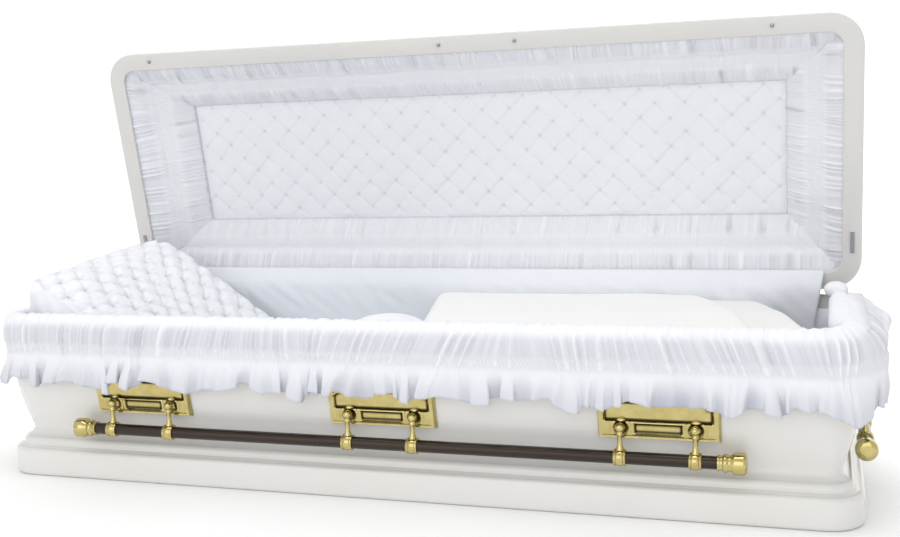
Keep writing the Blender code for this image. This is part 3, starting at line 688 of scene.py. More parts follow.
def rim_path(step):
    """(distance, points, outward normals) along the front U of the rim, from the head to the foot."""
    end_y = HALF_WIDTH - APRON_BACK_GAP
    straight = end_y + HALF_WIDTH - CORNER_RADIUS
    front = 2 * (HALF_LENGTH - CORNER_RADIUS)
    arc = CORNER_RADIUS * np.pi / 2
    total = 2 * straight + front + 2 * arc
    s = np.linspace(0, total, int(total / step))
    knots = np.cumsum([0, straight, arc, front, arc, straight])
    turn = np.interp(s, knots[1:5], [0, 90, 90, 180])
    angle = np.radians(180 + turn)
    normal = np.stack([np.cos(angle), np.sin(angle)], -1)
    cx, cy = HALF_LENGTH - CORNER_RADIUS, HALF_WIDTH - CORNER_RADIUS
    centre = np.stack([np.interp(s, knots[2:4], [-cx, cx]),
                       np.interp(s, knots, [end_y, -cy, -cy, -cy, -cy, end_y])], -1)
    return s, centre + CORNER_RADIUS * normal, normal


def through(knots, count, smooth=2):
    """A smooth open curve through knots: corners are cut by averaging, then points are spaced evenly."""
    curve = np.array(knots, float)
    for _ in range(smooth):
        quarter, three = curve[:-1] * 0.75 + curve[1:] * 0.25, curve[:-1] * 0.25 + curve[1:] * 0.75
        curve = np.vstack([curve[:1], np.stack([quarter, three], 1).reshape(-1, curve.shape[1]), curve[-1:]])
    length = np.concatenate([[0], np.cumsum(np.linalg.norm(np.diff(curve[:, :2], axis=0), axis=1))])
    even = np.linspace(0, length[-1], count)
    return np.column_stack([np.interp(even, length, curve[:, k]) for k in range(curve.shape[1])]), even


# %% Sections of the apron
APRON_HEM, APRON_BAND = 0.248, 0.318
APRON_HEAD = (
    (-0.0235, RIM_Z - 0.036), (-0.0270, RIM_Z - 0.010), (-0.0240, RIM_Z + 0.003), (-0.0120, RIM_Z + 0.0060),
    (-0.0010, RIM_Z + 0.0050), (0.0080, RIM_Z - 0.008), (0.0095, RIM_Z - 0.030), (0.0085, APRON_BAND + 0.020),
    (0.0075, APRON_BAND), (0.0110, APRON_BAND - 0.020), (0.0180, APRON_BAND - 0.045), (0.0220, APRON_HEM),
)
APRON_FRONT = (
    (-0.0235, RIM_Z - 0.036), (-0.0270, RIM_Z - 0.010), (-0.0230, RIM_Z + 0.006), (-0.0080, RIM_Z + 0.0095),
    (0.0080, RIM_Z + 0.0060), (0.0190, RIM_Z - 0.008), (0.0230, RIM_Z - 0.034), (0.0205, APRON_BAND + 0.020),
    (0.0170, APRON_BAND), (0.0195, APRON_BAND - 0.020), (0.0250, APRON_BAND - 0.045), (0.0290, APRON_HEM),
)
APRON_FOOT = (
    (-0.0700, RIM_Z - 0.036), (-0.0760, RIM_Z - 0.006), (-0.0680, RIM_Z + 0.016), (-0.0460, RIM_Z + 0.0240),
    (-0.0200, RIM_Z + 0.0150), (0.0060, RIM_Z + 0.0010), (0.0340, RIM_Z - 0.024), (0.0470, APRON_BAND + 0.024),
    (0.0420, APRON_BAND), (0.0400, APRON_BAND - 0.020), (0.0380, APRON_BAND - 0.045), (0.0340, APRON_HEM),
)
APRON_FOOT_END = (
    (-0.0700, RIM_Z - 0.036), (-0.0740, RIM_Z - 0.006), (-0.0660, RIM_Z + 0.016), (-0.0480, RIM_Z + 0.0230),
    (-0.0260, RIM_Z + 0.0120), (0.0020, RIM_Z + 0.0010), (0.0380, RIM_Z - 0.022), (0.0640, RIM_Z - 0.036),
    (0.0680, RIM_Z - 0.052), (0.0580, RIM_Z - 0.066), (0.0530, RIM_Z - 0.080), (0.0500, RIM_Z - 0.094),
)
# Along the front, from x -1.0 to 1.0: how far a gather leans per metre of fall, and how far apart gathers
# are.
LEAN_PLACES = (-1.0, -0.75, -0.45, -0.27, -0.18, -0.10, 0.25, 0.38, 0.50, 0.60, 0.72, 0.95, 1.0)
LEAN = (0.0, -0.15, -0.38, -0.05, 0.05, -0.45, -0.55, 0.30, 0.05, 0.28, 0.45, 0.32, 0.0)
SPACING_PLACES = (-1.0, -0.45, -0.20, -0.08, 0.28, 0.50, 0.72, 1.0)
SPACING = (0.0140, 0.0135, 0.0170, 0.0270, 0.0280, 0.0230, 0.0260, 0.0220)


def apron_sections(s, end, count):
    """(d, z) arrays over the path: four sections that ease into each other round the corners."""
    curves = [through(knots, count)[0] for knots in (APRON_HEAD, APRON_FRONT, APRON_FOOT, APRON_FOOT_END)]
    arc = CORNER_RADIUS * np.pi / 2
    straight = HALF_WIDTH * 2 - APRON_BACK_GAP - CORNER_RADIUS
    to_front = smoothstep(straight, straight + arc + 0.10, s)
    to_foot = smoothstep(end - straight - arc - 0.06, end - straight + 0.10, s)
    to_end = smoothstep(end - 0.20, end - 0.02, s)
    weights = (1 - to_front, to_front * (1 - to_foot), to_foot * (1 - to_end), to_foot * to_end)
    return sum(weight[:, None, None] * curve[None] for weight, curve in zip(weights, curves))


# %% The apron
APRON_STEP, APRON_ROWS, APRON_BACK_ROWS, APRON_THICKNESS = 0.0020, 40, 8, 0.0022


def beside_path(place, normal, out, slide, z):
    """Points at a distance out of the path and slid along it, at the height z."""
    x = place[:, :1] + normal[:, :1] * out - normal[:, 1:] * slide
    y = place[:, 1:] + normal[:, 1:] * out + normal[:, :1] * slide
    return np.stack([x, y, z], -1)


def build_apron():
    s, place, normal = rim_path(APRON_STEP)
    section = apron_sections(s, s[-1], APRON_ROWS)
    base_d, base_z = section[..., 0], section[..., 1]
    along, v = s[:, None], np.linspace(0, 1, APRON_ROWS)[None, :]
    step = np.gradient(section, axis=1)
    step /= np.linalg.norm(step, axis=2, keepdims=True)
    out_d, out_z = -step[..., 1], step[..., 0]
    outside = smoothstep(0.34, 0.44, v)
    band_at = v - 0.655
    above_band = smoothstep(0.64, 0.56, v)
    in_band = np.exp(-(band_at / 0.055) ** 4)
    ruffle = smoothstep(0.69, 1.0, v)
    count = np.concatenate([[0], np.cumsum(np.diff(s) / np.interp(place[1:, 0], SPACING_PLACES, SPACING))])
    fall = np.clip(RIM_Z - 0.012 - base_z, 0, 0.078)
    slide = np.interp(place[:, 0], LEAN_PLACES, LEAN)[:, None] * fall * outside
    phase = 0.02 * count[:, None]
    coarse, middle = gathers(phase, 0.0200, 51, 3.0), gathers(along, 0.0098, 53)
    fine = gathers(along, 0.0062, 57, 1.0)
    puffs = 0.5 + 0.5 * np.clip(noise_1d(along, 59, 30, 0.06, 0.018), -1.6, 1.6)
    roll = np.sin(np.pi * np.clip((v - 0.05) / 0.36, 0, 1))
    lift = roll * (0.0024 * puffs + 0.0018 * middle)
    lift = lift + outside * above_band * (0.0080 * coarse + 0.0030 * middle)
    lift = lift + 0.0011 * fine * (0.3 + 0.7 * in_band)
    dots = smocking(along, base_z, 0.0066, 0.0088)
    lift = lift + in_band * outside * 0.0012 * dots
    theta = 2 * np.pi * (along / 0.070 + 0.55 * noise_1d(along, 81, 16, 0.8, 0.18))
    size = np.clip(0.85 + 0.45 * noise_1d(along, 83, 14, 0.5, 0.12), 0.25, 1.35)
    fold = np.tanh(1.2 * np.sin(theta) + 0.5 * noise_1d(along + 0.03 * v, 82, 20, 0.12, 0.03)) * size
    lift = lift + ruffle * (0.0105 * fold + 0.0030 * noise_1d(along, 84, 26, 0.05, 0.018))
    lift = lift + (ruffle > 0) * (1 - ruffle) * 0.0026 * coarse
    lift = lift + 0.002 * outside * noise_1d(along, 85, 8, 1.0, 0.3)
    slide = slide - ruffle * (0.0070 * np.sin(2 * theta) * size + 0.006 * noise_1d(along, 89, 18, 0.3, 0.05))
    drop = ruffle * (0.0075 * noise_1d(along, 87, 16, 0.34, 0.08) - 0.0040 * fold + 0.0030 * np.cos(theta))
    d = np.maximum(base_d + out_d * lift, np.where(v > 0.34, 0.0050, -1.0))
    highest = RIM_Z + 0.0125 + 0.024 * smoothstep(0.90, 0.99, place[:, :1] / HALF_LENGTH)
    z = np.minimum(base_z + out_z * lift + drop, highest)
    outer = beside_path(place, normal, d, slide, z)
    pick = np.linspace(APRON_ROWS - 1, 0, APRON_BACK_ROWS).round().astype(int)
    inner_d = d[:, pick] - out_d[:, pick] * APRON_THICKNESS
    inner_z = z[:, pick] - out_z[:, pick] * APRON_THICKNESS
    inner = beside_path(place, normal, inner_d, slide[:, pick], inner_z)
    # Painted shade: darker between the gathers and the smock puffs, and over the whole ruffle, most inside its
    # folds.
    crest = np.clip(0.75 * coarse + 0.25 * middle, 0, 1)
    valley = (1 - crest) * 0.36 * outside * above_band + in_band * outside * (0.16 - 0.14 * dots)
    valley = valley + ruffle * (0.36 * np.clip(-fold, 0, 1) + 0.40)
    valley = np.concatenate([np.clip(valley, 0, 1), np.zeros((len(s), len(pick)))], 1)
    apron = closed_skin("gathered_apron", np.concatenate([outer, inner], 1), valley=valley, **BOX_CREPE)
    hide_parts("apron")
    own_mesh(apron)


build_apron()

# %% [markdown]
# ## Pillow
# The pillow is a stuffed wedge that leans on the head end, higher at the back. Its filling is blown up by
# a short cloth simulation. Its cover is then tied down in diamonds on top, and its front boxing stays
# plain.

# %% Cloth under pressure
PILLOW_LOW, PILLOW_HIGH = node_corners("pillow")


def vertex_array(mesh, field="co"):
    values = np.empty(len(mesh.vertices) * 3)
    mesh.vertices.foreach_get(field, values)
    return values.reshape(-1, 3)


def evaluated_mesh(piece):
    """The piece's mesh with its modifiers applied."""
    graph = bpy.context.evaluated_depsgraph_get()
    return bpy.data.meshes.new_from_object(piece.evaluated_get(graph))


def puff_up(piece, voxel, pressure, frames, most):
    """Remesh evenly, inflate as cloth without gravity, and let no point move further than most."""
    remesh = piece.modifiers.new("even", "REMESH")
    remesh.mode, remesh.voxel_size = "VOXEL", voxel
    even = evaluated_mesh(piece)
    piece.modifiers.clear()
    piece.data = even
    before = vertex_array(even)
    cloth_modifier = piece.modifiers.new("cloth", "CLOTH")
    settings = cloth_modifier.settings
    settings.use_pressure, settings.uniform_pressure_force = True, pressure
    settings.effector_weights.gravity = 0
    cache = cloth_modifier.point_cache
    cache.frame_start, cache.frame_end = 1, frames
    for number in range(1, frames + 1):
        bpy.context.scene.frame_set(number)
    after = vertex_array(evaluated_mesh(piece))
    piece.modifiers.clear()
    bpy.context.scene.frame_set(1)
    move = after - before
    size = np.linalg.norm(move, axis=1, keepdims=True)
    move *= np.minimum(1, most / np.maximum(size, 1e-9))
    even.vertices.foreach_set("co", (before + move).ravel())
    even.update()


def subdivide(piece):
    """Each face becomes four, on a smooth surface."""
    finer = piece.modifiers.new("finer", "SUBSURF")
    finer.levels = finer.render_levels = 1
    smooth = evaluated_mesh(piece)
    piece.modifiers.clear()
    piece.data = smooth


# %% Pillow
PILLOW_FRONT_LENGTH = 0.36
PILLOW_DIAMOND = (0.0315, 0.0425)
PILLOW_VOXEL, PILLOW_PRESSURE, PILLOW_FRAMES, PILLOW_SWELL = 0.0085, 4.0, 20, 0.012
PILLOW_RING = (
    (-1.00, -0.100), (-0.96, -0.072), (-0.86, -0.054), (-0.66, -0.045), (-0.40, -0.036), (-0.05, -0.022),
    (0.40, -0.006), (0.74, 0.000), (0.93, -0.014), (1.00, -0.042),
)


def pillow_wedge():
    """Rings from the head end to the toe. Each ring is the floor line and a rounded top, which is lowest
    at the front. The top stays level at first and then falls as ((share - 0.14) / 0.86) ** 1.25. The
    front is shorter."""
    inset = 0.010
    low, high = PILLOW_LOW + inset, PILLOW_HIGH + (-inset, -inset, 0.004)
    length = high[0] - low[0]
    rings = []
    for share in np.linspace(0, 1, 16):
        back_x, front_x = low[0] + length * share, low[0] + (PILLOW_FRONT_LENGTH - inset) * share
        height = high[2] + (low[2] + 0.075 - high[2]) * max((share - 0.14) / 0.86, 0) ** 1.25
        ring = [(front_x, low[1], low[2]), (back_x, high[1], low[2])]
        for across, drop in PILLOW_RING[::-1]:
            x = front_x + (back_x - front_x) * (across + 1) / 2
            ring.append((x, high[1] * across, max(height + drop * (1 - 0.45 * share), low[2] + 0.02)))
        rings.append(ring)
    return np.array(rings)


def build_pillow():
    pillow = closed_skin("tufted_pillow", pillow_wedge())
    puff_up(pillow, PILLOW_VOXEL, PILLOW_PRESSURE, PILLOW_FRAMES, PILLOW_SWELL)
    subdivide(pillow)
    mesh = pillow.data
    co, normal = vertex_array(mesh), vertex_array(mesh, "normal")
    seam = co[:, 0] - PILLOW_LOW[0] + 1.5 * (co[:, 1] - PILLOW_LOW[1]) + 2.0 * (co[:, 2] - RIM_Z)
    boxing = smoothstep(0.19, 0.25, seam)
    top = smoothstep(0.10, 0.45, normal[:, 2]) * smoothstep(-0.97, -0.75, normal[:, 0]) * boxing
    top = top * smoothstep(PILLOW_LOW[2] + 0.04, PILLOW_LOW[2] + 0.08, co[:, 2])
    below_top = np.minimum(co[:, 2] - PILLOW_HIGH[2] + 0.02, 0)
    round_front = co[:, 1] + 0.75 * below_top * smoothstep(0.1, -0.2, co[:, 1])
    one, two = PILLOW_DIAMOND, (PILLOW_DIAMOND[0], -PILLOW_DIAMOND[1])
    height, valley = tufting(co[:, 0], round_front, one, two, 0.0070, 0.0020, 0.0075, 0.0028, 91)
    crumple = 0.0011 * noise_1d(co[:, 0] + 0.6 * co[:, 1] + 0.4 * co[:, 2], 93, 20, 0.2, 0.03)
    co = co + normal * ((height - 0.005) * top + crumple)[:, None]
    co = np.clip(co, PILLOW_LOW + (0.001, 0.001, 0.0005), PILLOW_HIGH + (0.01, -0.001, 0.016))
    mesh.vertices.foreach_set("co", co.ravel())
    # Painted shade in the ties and creases on the pillow's top.
    set_valley(mesh, valley * top * 0.5)
    mesh.update()
    mesh.materials.clear()
    mesh.materials.append(CREPE)
    mesh.shade_smooth()
    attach(pillow, "casket")
    pad("pillow")
    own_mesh(pillow)


build_pillow()

# %% [markdown]
# ## Bedding
# The foot half is covered by a padded velvet throw at the height of the rim, with slanting ends, over a
# shorter cream one that shows at the foot. Next to it the crepe lining puffs up a little, and at the foot
# end a stuffed roll lies along the rim.

# %% A soft slab with rounded edges
def soft_slab(name, low, high, radius, shear, material, slot, wave, seed, curve=0.0):
    """Outlines shrunk by a circle's inset round the sides, then by even steps across the top. shear
    slants the head and foot ends by that much from front to back, curve bows the foot end, and the top
    undulates."""
    half, centre = (high - low) / 2, (high + low) / 2
    angle = np.linspace(0, np.pi / 2, 12)
    inset, rise = radius * (1 - np.cos(angle)), radius * np.sin(angle)
    profile = [(radius, low[2])] + [(i, low[2] + 0.4 * (radius - r)) for i, r in zip(inset[::-1], rise[::-1])]
    profile += [(i, high[2] - radius + r) for i, r in zip(inset, rise)]
    profile += [(i, high[2]) for i in np.linspace(radius, min(half[0], half[1]) * 0.94, 14)[1:]]
    rings = []
    for i, z in profile:
        flat, _ = rounded_rectangle(half[0] - i, half[1] - i, max(radius * 1.2 - i, 0.006), 10, 60)
        rings.append(np.column_stack([flat + centre[:2], np.full(len(flat), z)]))
    grid = np.stack(rings)
    top = smoothstep(high[2] - radius, high[2], grid[..., 2])
    ripple = noise_1d(grid[..., 0] * 0.9 + grid[..., 1] * 0.4, seed, 12, 0.9, 0.2)
    ripple = ripple + noise_1d(grid[..., 1] * 1.1 - grid[..., 0] * 0.25, seed + 1, 12, 0.8, 0.18)
    grid[..., 2] += wave * top * (ripple - 2.0)
    across, to_foot = grid[..., 1] / half[1], smoothstep(low[0], high[0], grid[..., 0])
    grid[..., 0] -= (shear[0] * (1 - to_foot) + shear[1] * to_foot) * across
    grid[..., 0] += curve * (1 - across ** 2) * to_foot
    return closed_skin(name, grid, body="casket", slot=slot, material=material)


def puff(name, centre, size, node, seed):
    """A stuffed lump: an ellipsoid of the given half sizes, with blunt ends and wrinkles along it."""
    u, v = np.linspace(0, np.pi, 36)[:, None], np.linspace(0, 2 * np.pi, 56, endpoint=False)[None, :]
    blunt = np.sin(u) ** 0.55
    wrinkle = 1 + 0.022 * noise_1d(2.2 * u + 0.25 * np.sin(v + 1), seed, 14, 1.6, 0.25) * np.sin(u) + 0 * v
    y = -np.cos(u) * size[1] + 0 * v
    x = blunt * np.cos(v) * size[0] * wrinkle
    z = blunt * np.sin(v) * size[2] * wrinkle
    lump = closed_skin(name, np.stack([x, y, z], -1) + centre, **BOX_CREPE)
    pad(node)
    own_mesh(lump)


# %% Throw, bed and rolls
def build_bedding():
    low, high = node_corners("overlay_throw")
    start, end = low + (-0.032, 0, 0), high - (0.215, 0, -0.006)
    throw = soft_slab("padded_throw", start, end, 0.036, (0.083, 0.085), VELVET, "velvet", 0.001, 5, 0.035)
    pad("overlay_throw")
    start, end = low + (0.30, 0.004, 0), high - (0.085, 0.004, 0.0075)
    under = soft_slab("cream_throw", start, end, 0.026, (0.0, 0.075), CREAM, "velvet", 0.001, 15, 0.030)
    pad("overlay_throw")
    low, high = node_corners("mattress")
    bed = soft_slab("crepe_mattress", low, high, 0.030, (0.0, 0.0), SATIN, "crepe", 0.002, 9)
    pad("mattress")
    puff("crepe_puff", (-0.004, -0.264, 0.388), (0.090, 0.052, 0.034), "mattress", 3)
    puff("foot_roll", (0.992, 0.220, 0.434), (0.028, 0.030, 0.020), "apron", 7)


build_bedding()

# %% [markdown]
# ## Wall lining and hinge cover
# Cloth over card lines the walls from the bed to the rim, with soft upright gathers. At the back a smooth
# strip of cloth covers the hinge: its lower edge is fixed inside the wall and its upper edge to the lid.

# %% Wall lining
LINING_OUT, LINING_THICK, LINING_ROWS = SHEET + 0.002, 0.014, 7
LINING_TOP = RIM_Z - 0.038


def build_wall_lining():
    """Rings from the waist up to under the rim and back down behind, with a finely gathered face."""
    up = np.linspace(0, 1, LINING_ROWS)
    height = WAIST_Z + (LINING_TOP - WAIST_Z) * np.concatenate([up, up[::-1]])
    inset = flank_inset(height) + LINING_OUT + np.repeat([LINING_THICK, 0.0], LINING_ROWS)
    rings = []
    for k, (i, z) in enumerate(zip(inset, height)):
        radius = max(CORNER_RADIUS - i, 0.02)
        flat, normal = rounded_rectangle(HALF_LENGTH - i, HALF_WIDTH - i, radius, 24, 220)
        along = np.concatenate([[0], np.cumsum(np.linalg.norm(np.diff(flat, axis=0), axis=1))])
        on_face = (k < LINING_ROWS) * smoothstep(LINING_TOP, LINING_TOP - 0.03, z)
        fold = 0.0022 * (gathers(along + 0.01 * z, 0.031, 101) - 0.5) * on_face
        rings.append(np.column_stack([flat - normal * fold[:, None], np.full(len(flat), z)]))
    lining = mesh_from_grid("wall_lining", np.stack(rings), wrap_u=True, wrap_v=True, **BOX_SATIN)
    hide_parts("side_lining")


build_wall_lining()

# %% Hinge cover
COVER_THICKNESS, COVER_PAST_SOLID = 0.0012, 0.004


def build_hinge_cover():
    """A sheet from inside the back wall, over the rim, to the lid, with a slight sag."""
    foot, bend = (0.3265, 0.290), (0.3240, RIM_Z + 0.012)
    top = swing_open([[0.0, -(FLANGE + 0.004), 0.0055]])[0]
    knots = (foot, (0.3260, 0.350), bend, (0.330, RIM_Z + 0.030), (top[1] - 0.0045, top[2]))
    section, even = through(knots, 22)
    half = node_corners("hinge_cover")[1][0] + COVER_PAST_SOLID
    x = np.linspace(-half, half, 300)[:, None]
    share = even[None, :] / even[-1]
    sag = 0.0022 * noise_1d(x, 111, 12, 0.8, 0.10) + 0.0010 * noise_1d(x + 0.25 * share, 113, 14, 0.25, 0.05)
    y = section[:, 0][None, :] - np.abs(sag) * np.sin(np.pi * share)
    z = section[:, 1][None, :] + 0 * x
    grid = np.stack([x - 0.030 * (1 - share) * (x > 0) * smoothstep(0.7, 1.0, x / half), y, z], -1)
    cover = mesh_from_grid("hinge_cover_cloth", grid, toward=(0, -1, 0.3), slot="crepe", material=SATIN)
    thicken(cover, COVER_THICKNESS)
    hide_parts("hinge_cover")
    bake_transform(cover)


build_hinge_cover()

# %% [markdown]
# ## Handles
# Each handle is a bronze-lacquered bar in gold-plated castings: ear plates screwed to the shell, arms
# that swing on ball knuckles, rings round the bar, and turned tips. A plate is a height field: a bevelled
# frame, a sunk field, and a rail along its foot with a cartouche between two sockets.

# %% Places on a side
PLATE_LENGTH, PLATE_BOTTOM, PLATE_TOP, PLATE_THICKNESS = 0.262, 0.172, 0.272, 0.010
PLATE_GAP, RAIL_V = 0.0005, 0.027
PLATE_GRID = (124, 50)
ARM_OFFSET, PIVOT_Z, PIVOT_STAND_OFF = 0.0795, 0.199, 0.013
BALL_RADIUS, BAR_DROP, BAR_RADIUS = 0.011, 0.065, 0.014
SIDES = {
    "front": (0.0, HALF_WIDTH, (-0.631, 0.0, 0.631), 0.755),
    "back": (180.0, HALF_WIDTH, (-0.631, 0.0, 0.631), 0.755),
    "foot": (90.0, HALF_LENGTH, (0.0,), 0.130),
    "head": (-90.0, HALF_LENGTH, (0.0,), 0.130),
}


def on_side(side, along, out, z):
    """World points from the distance along a side, out of its plan line, and the height."""
    turn, distance = math.radians(SIDES[side][0]), SIDES[side][1]
    along, out, z = np.broadcast_arrays(along, np.asarray(out, float) + distance, z)
    x = along * math.cos(turn) + out * math.sin(turn)
    y = along * math.sin(turn) - out * math.cos(turn)
    return np.stack([x, y, z], -1)


def plate_slope():
    """(foot, unit vector up the plate, unit vector out of it, height) in the (out, z) plane, clear of the
    flank."""
    foot = np.array([-flank_inset(PLATE_BOTTOM), PLATE_BOTTOM])
    head = np.array([-flank_inset(PLATE_TOP), PLATE_TOP])
    height = np.linalg.norm(head - foot)
    up = (head - foot) / height
    out = np.array([up[1], -up[0]])
    level = np.linspace(PLATE_BOTTOM, PLATE_TOP, 40)
    bulge = ((np.column_stack([-flank_inset(level), level]) - foot) @ out).max()
    return foot + out * (bulge + PLATE_GAP), up, out, height


# %% Ear plates
def plate_height(u, v, half, height):
    """Relief over the plate: distances to the edges give the frame, and boxes and circles give rail and
    sockets."""
    edge = np.minimum(half - np.abs(u), np.minimum(v, height - v))
    relief = PLATE_THICKNESS * smoothstep(-0.0005, 0.004, edge) - 0.0045 * smoothstep(0.0135, 0.0165, edge)
    relief = relief - 0.0012 * np.exp(-((edge - 0.0075) / 0.0012) ** 2)
    rail = smoothstep(0.0, 0.003, 0.018 - np.abs(v - RAIL_V)) * smoothstep(0, 0.003, half - 0.012 - np.abs(u))
    relief = np.maximum(relief, rail * PLATE_THICKNESS)
    box = np.minimum(0.052 - np.abs(u), 0.0115 - np.abs(v - RAIL_V))
    relief = relief - 0.0030 * smoothstep(0.0, 0.0018, box) * rail
    relief = relief + 0.0010 * np.exp(-((box + 0.0015) / 0.0010) ** 2) * rail
    for x in (-ARM_OFFSET, ARM_OFFSET):
        reach = np.hypot(u - x, v - RAIL_V)
        relief = relief - 0.0052 * smoothstep(0.0165, 0.0130, reach)
        relief = relief + 0.0012 * np.exp(-((reach - 0.0180) / 0.0014) ** 2)
    for x in (-half + 0.020, half - 0.020):
        lobe = np.cos(3 * np.arctan2(v - height + 0.020, u - x)) * 0.25 + 0.75
        relief = relief + 0.0030 * smoothstep(0.0125, 0.0085, np.hypot(u - x, v - height + 0.020) / lobe)
    return np.maximum(relief, 0.0006)


def hollows(relief, reach):
    """How far each point lies below the mean of its neighbours within reach rows and columns, per 1.2
    mm."""
    shifts = range(-reach, reach + 1)
    padded = np.pad(relief, reach, mode="edge")
    rows, cols = relief.shape
    mean = sum(padded[reach + i:reach + i + rows, reach + j:reach + j + cols] for i in shifts for j in shifts)
    return np.clip((mean / len(shifts) ** 2 - relief) / 0.0012, 0, 1)


def build_plates():
    foot, up, out, height = plate_slope()
    half = PLATE_LENGTH / 2
    u = np.linspace(-half, half, PLATE_GRID[0])[:, None]
    v = np.linspace(0, height, PLATE_GRID[1])[None, :]
    relief = plate_height(u, v, half, height)
    # Painted shade in the castings' hollows: the further a point lies below its neighbours' mean, the darker.
    valley = np.clip(1.3 * hollows(relief, 3), 0, 1) * smoothstep(0.0, 0.006, relief)
    valley = np.concatenate([valley, np.zeros((len(relief), 2))], 1)
    for side, (_, _, centres, _) in SIDES.items():
        for number, centre in enumerate(centres, 1):
            node = f"{side}_plate_{number}" if len(centres) > 1 else f"{side}_plate"
            place = foot[:, None, None] + up[:, None, None] * (v + 0 * u) + out[:, None, None] * relief
            face = on_side(side, centre + u + 0 * v, place[0], place[1])
            behind = foot[:, None, None] + up[:, None, None] * (v[:, [-1, 0]] + 0 * u)
            back = on_side(side, centre + u + 0 * v[:, [-1, 0]], behind[0], behind[1])
            plate = closed_skin("cast_" + node, np.concatenate([face, back], 1), valley=valley, body="casket",
                                slot="gold", material=GOLD)
            sharpen(plate, 60)
            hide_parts(node)


build_plates()

# %% Turned and swept castings
def turned(profile, sides=40):
    """Rings about the X axis from (x, radius) points."""
    profile = np.array(profile, float)
    angle = np.linspace(0, 2 * np.pi, sides, endpoint=False)
    x = np.repeat(profile[:, :1], sides, 1)
    return np.stack([x, profile[:, 1:] * np.cos(angle), profile[:, 1:] * np.sin(angle)], -1)


def hanging(profile):
    """Rings about the Z axis from (distance down, radius) points."""
    return turned(profile, 28)[..., [1, 2, 0]] * (1, 1, -1)


def arm_parts():
    """Grids for one arm about its knuckle's centre, with X along the bar: a ball, a neck with a collar, a
    ring."""
    turn = np.linspace(0, np.pi, 15)
    radius = np.maximum(BALL_RADIUS * np.sin(turn), 0.0004)
    ball = hanging(np.column_stack([-BALL_RADIUS * np.cos(turn), radius]))
    neck = hanging([(0.007, 0.0074), (0.011, 0.0066), (0.013, 0.0078), (0.0155, 0.0078), (0.0175, 0.0060),
                    (0.030, 0.0054), (0.040, 0.0064), (0.046, 0.0086), (0.052, 0.0090)])
    inner = BAR_RADIUS + 0.0004
    half = [(0.013, inner), (0.013, 0.0172), (0.0118, 0.0182), (0.0095, 0.0186), (0.0078, 0.0170),
            (0.0060, 0.0182)]
    ring_profile = [(-x, radius) for x, radius in half] + [(0.0, 0.0190)] + half[::-1]
    ring = turned(ring_profile, 44) - (0, 0, BAR_DROP)
    return (ball, True), (neck, True), (ring, False)


def join_grids(name, grids, **piece):
    """One mesh from several closed grids of (points, caps or not)."""
    vertices, faces, start = [], [], 0
    for points, capped in grids:
        rows, cols = points.shape[:2]
        faces += (grid_quads(rows, cols, not capped, True) + start).tolist()
        if capped:
            faces.append([start + k for k in range(cols)])
            faces.append([start + k for k in range((rows - 1) * cols, rows * cols)][::-1])
        vertices.append(points.reshape(-1, 3))
        start += rows * cols
    mesh = bpy.data.meshes.new(name)
    mesh.from_pydata(np.concatenate(vertices).tolist(), [], faces)
    mesh.update()
    return finish_piece(name, mesh, **piece)


TIP_PROFILE = (
    (0.0004, 0.0150), (0.0010, 0.0168), (0.0040, 0.0172), (0.0060, 0.0160), (0.0110, 0.0160), (0.0130, 0.0190),
    (0.0170, 0.0205), (0.0210, 0.0190), (0.0230, 0.0175), (0.0290, 0.0178), (0.0330, 0.0225), (0.0365, 0.0240),
    (0.0540, 0.0240), (0.0575, 0.0228), (0.0600, 0.0190), (0.0615, 0.0120), (0.0620, 0.0010),
)


def from_pivot(side, grid, along):
    """Places a casting, worked out about the knuckle line, at a distance along a side."""
    pivot_out = -flank_inset(PIVOT_Z) + PLATE_THICKNESS + PIVOT_STAND_OFF
    return on_side(side, grid[..., 0] + along, pivot_out - grid[..., 1], PIVOT_Z + grid[..., 2])


def build_handles():
    for side, (_, _, centres, half) in SIDES.items():
        on_handle = {"body": side + "_handle", "slot": "gold", "material": GOLD}
        number = 0
        for centre in centres:
            for offset in (-ARM_OFFSET, ARM_OFFSET):
                number += 1
                node = f"{side}_arm_{number}"
                grids = [(from_pivot(side, grid, centre + offset), capped) for grid, capped in arm_parts()]
                arm = join_grids("cast_" + node, grids, **on_handle)
                sharpen(arm, 50)
                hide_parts(node)
        rod = turned([(-half, 0.0010), (-half, BAR_RADIUS), (half, BAR_RADIUS), (half, 0.0010)], 56)
        rod = from_pivot(side, rod - (0, 0, BAR_DROP), 0)
        bar = closed_skin(side + "_tube", rod, body=side + "_handle", slot="bar", material=BRONZE)
        sharpen(bar, 50)
        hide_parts(side + "_bar")
        for suffix, sign in (("left", -1), ("right", 1)):
            knob = turned(TIP_PROFILE, 44) * (sign, 1, 1) + (sign * half, 0, -BAR_DROP)
            tip = closed_skin(f"turned_{side}_tip_{suffix}", from_pivot(side, knob, 0), **on_handle)
            sharpen(tip, 50)
            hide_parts(f"{side}_tip_{suffix}")


build_handles()

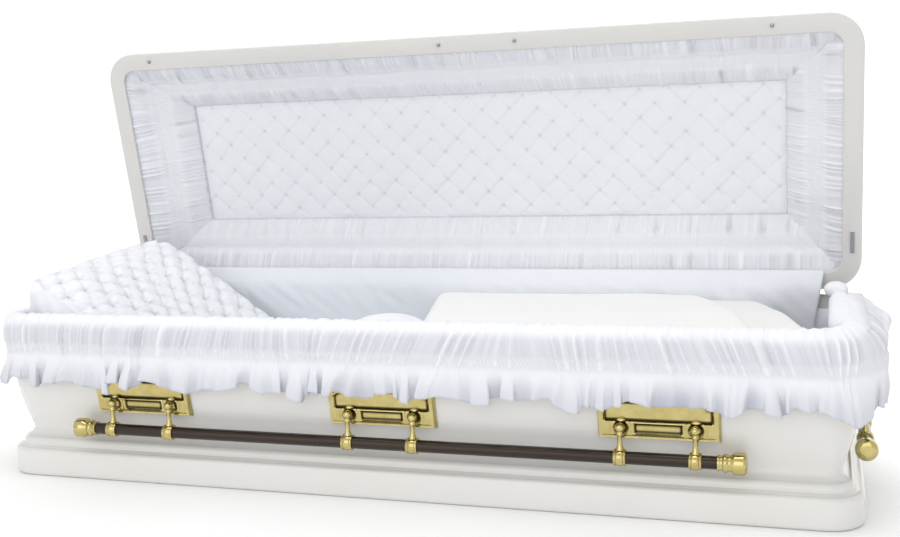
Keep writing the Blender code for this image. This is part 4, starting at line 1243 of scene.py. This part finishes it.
# %% [markdown]
# ### Small fittings
# Studs, catches and hinge leaves are plain in the frame and small, so they keep their solids and take a
# finish.

# %% Finishes on the kept solids
for name, node in NODES.items():
    if "stud" in name or "catch" in name or "leaf" in name:
        node.data.materials.clear()
        node.data.materials.append(ZINC)

# %% [markdown]
# ## Floor and light
# A plain pale floor curves up into a backdrop. The light is soft and white from all round, with a large
# lamp in front and above, and the side of the casket below the apron stays a little darker.

# %% Studio
SKY_STRENGTH = 0.84


def build_studio():
    """The floor is a strip whose profile runs flat, bends through a quarter circle and rises behind."""
    bend = arc_points((3.0, 1.5), 1.5, -90, 0, 20)
    profile = np.vstack([[[-14.0, 0.0]], bend, [[4.5, 9.0]]])
    x = np.linspace(-16, 16, 3)[:, None]
    y, z = profile[None, :, 0], profile[None, :, 1]
    grid = np.stack([x + 0 * y, y + 0 * x, z + 0 * x], -1)
    material, tree, shader = new_material("painted_floor", "#FAFAFA", 0.6)
    vary_roughness(tree, shader, noise(tree, object_coordinates(tree), 400, 2), 0.5, 0.65)
    floor = mesh_from_grid("studio_floor", grid, toward=(0, -1, 1), material=material)


def area_light(name, place, aim, size, power):
    data = bpy.data.lights.new(name, "AREA")
    data.shape, data.size, data.size_y, data.energy = "RECTANGLE", size[0], size[1], power
    light = bpy.data.objects.new(name, data)
    bpy.context.scene.collection.objects.link(light)
    light.location = place
    light.rotation_euler = (Vector(aim) - Vector(place)).to_track_quat("-Z", "Y").to_euler()


def light_studio():
    world = bpy.data.worlds.new("studio")
    bpy.context.scene.world = world
    world.use_nodes = True
    background = world.node_tree.nodes["Background"]
    background.inputs[0].default_value = (1, 1, 1, 1)
    background.inputs[1].default_value = SKY_STRENGTH
    area_light("key", (-0.3, -4.3, 1.5), (0, 0, 0.4), (5.6, 2.8), 44)
    area_light("top", (0.0, -0.7, 3.4), (0, 0, 0.3), (3.2, 1.4), 32)
    area_light("back", (0, 3.0, 4.6), (0, 7.0, 1.6), (6.0, 1.5), 170)


build_studio()
light_studio()
bpy.context.scene.view_settings.view_transform = "Standard"
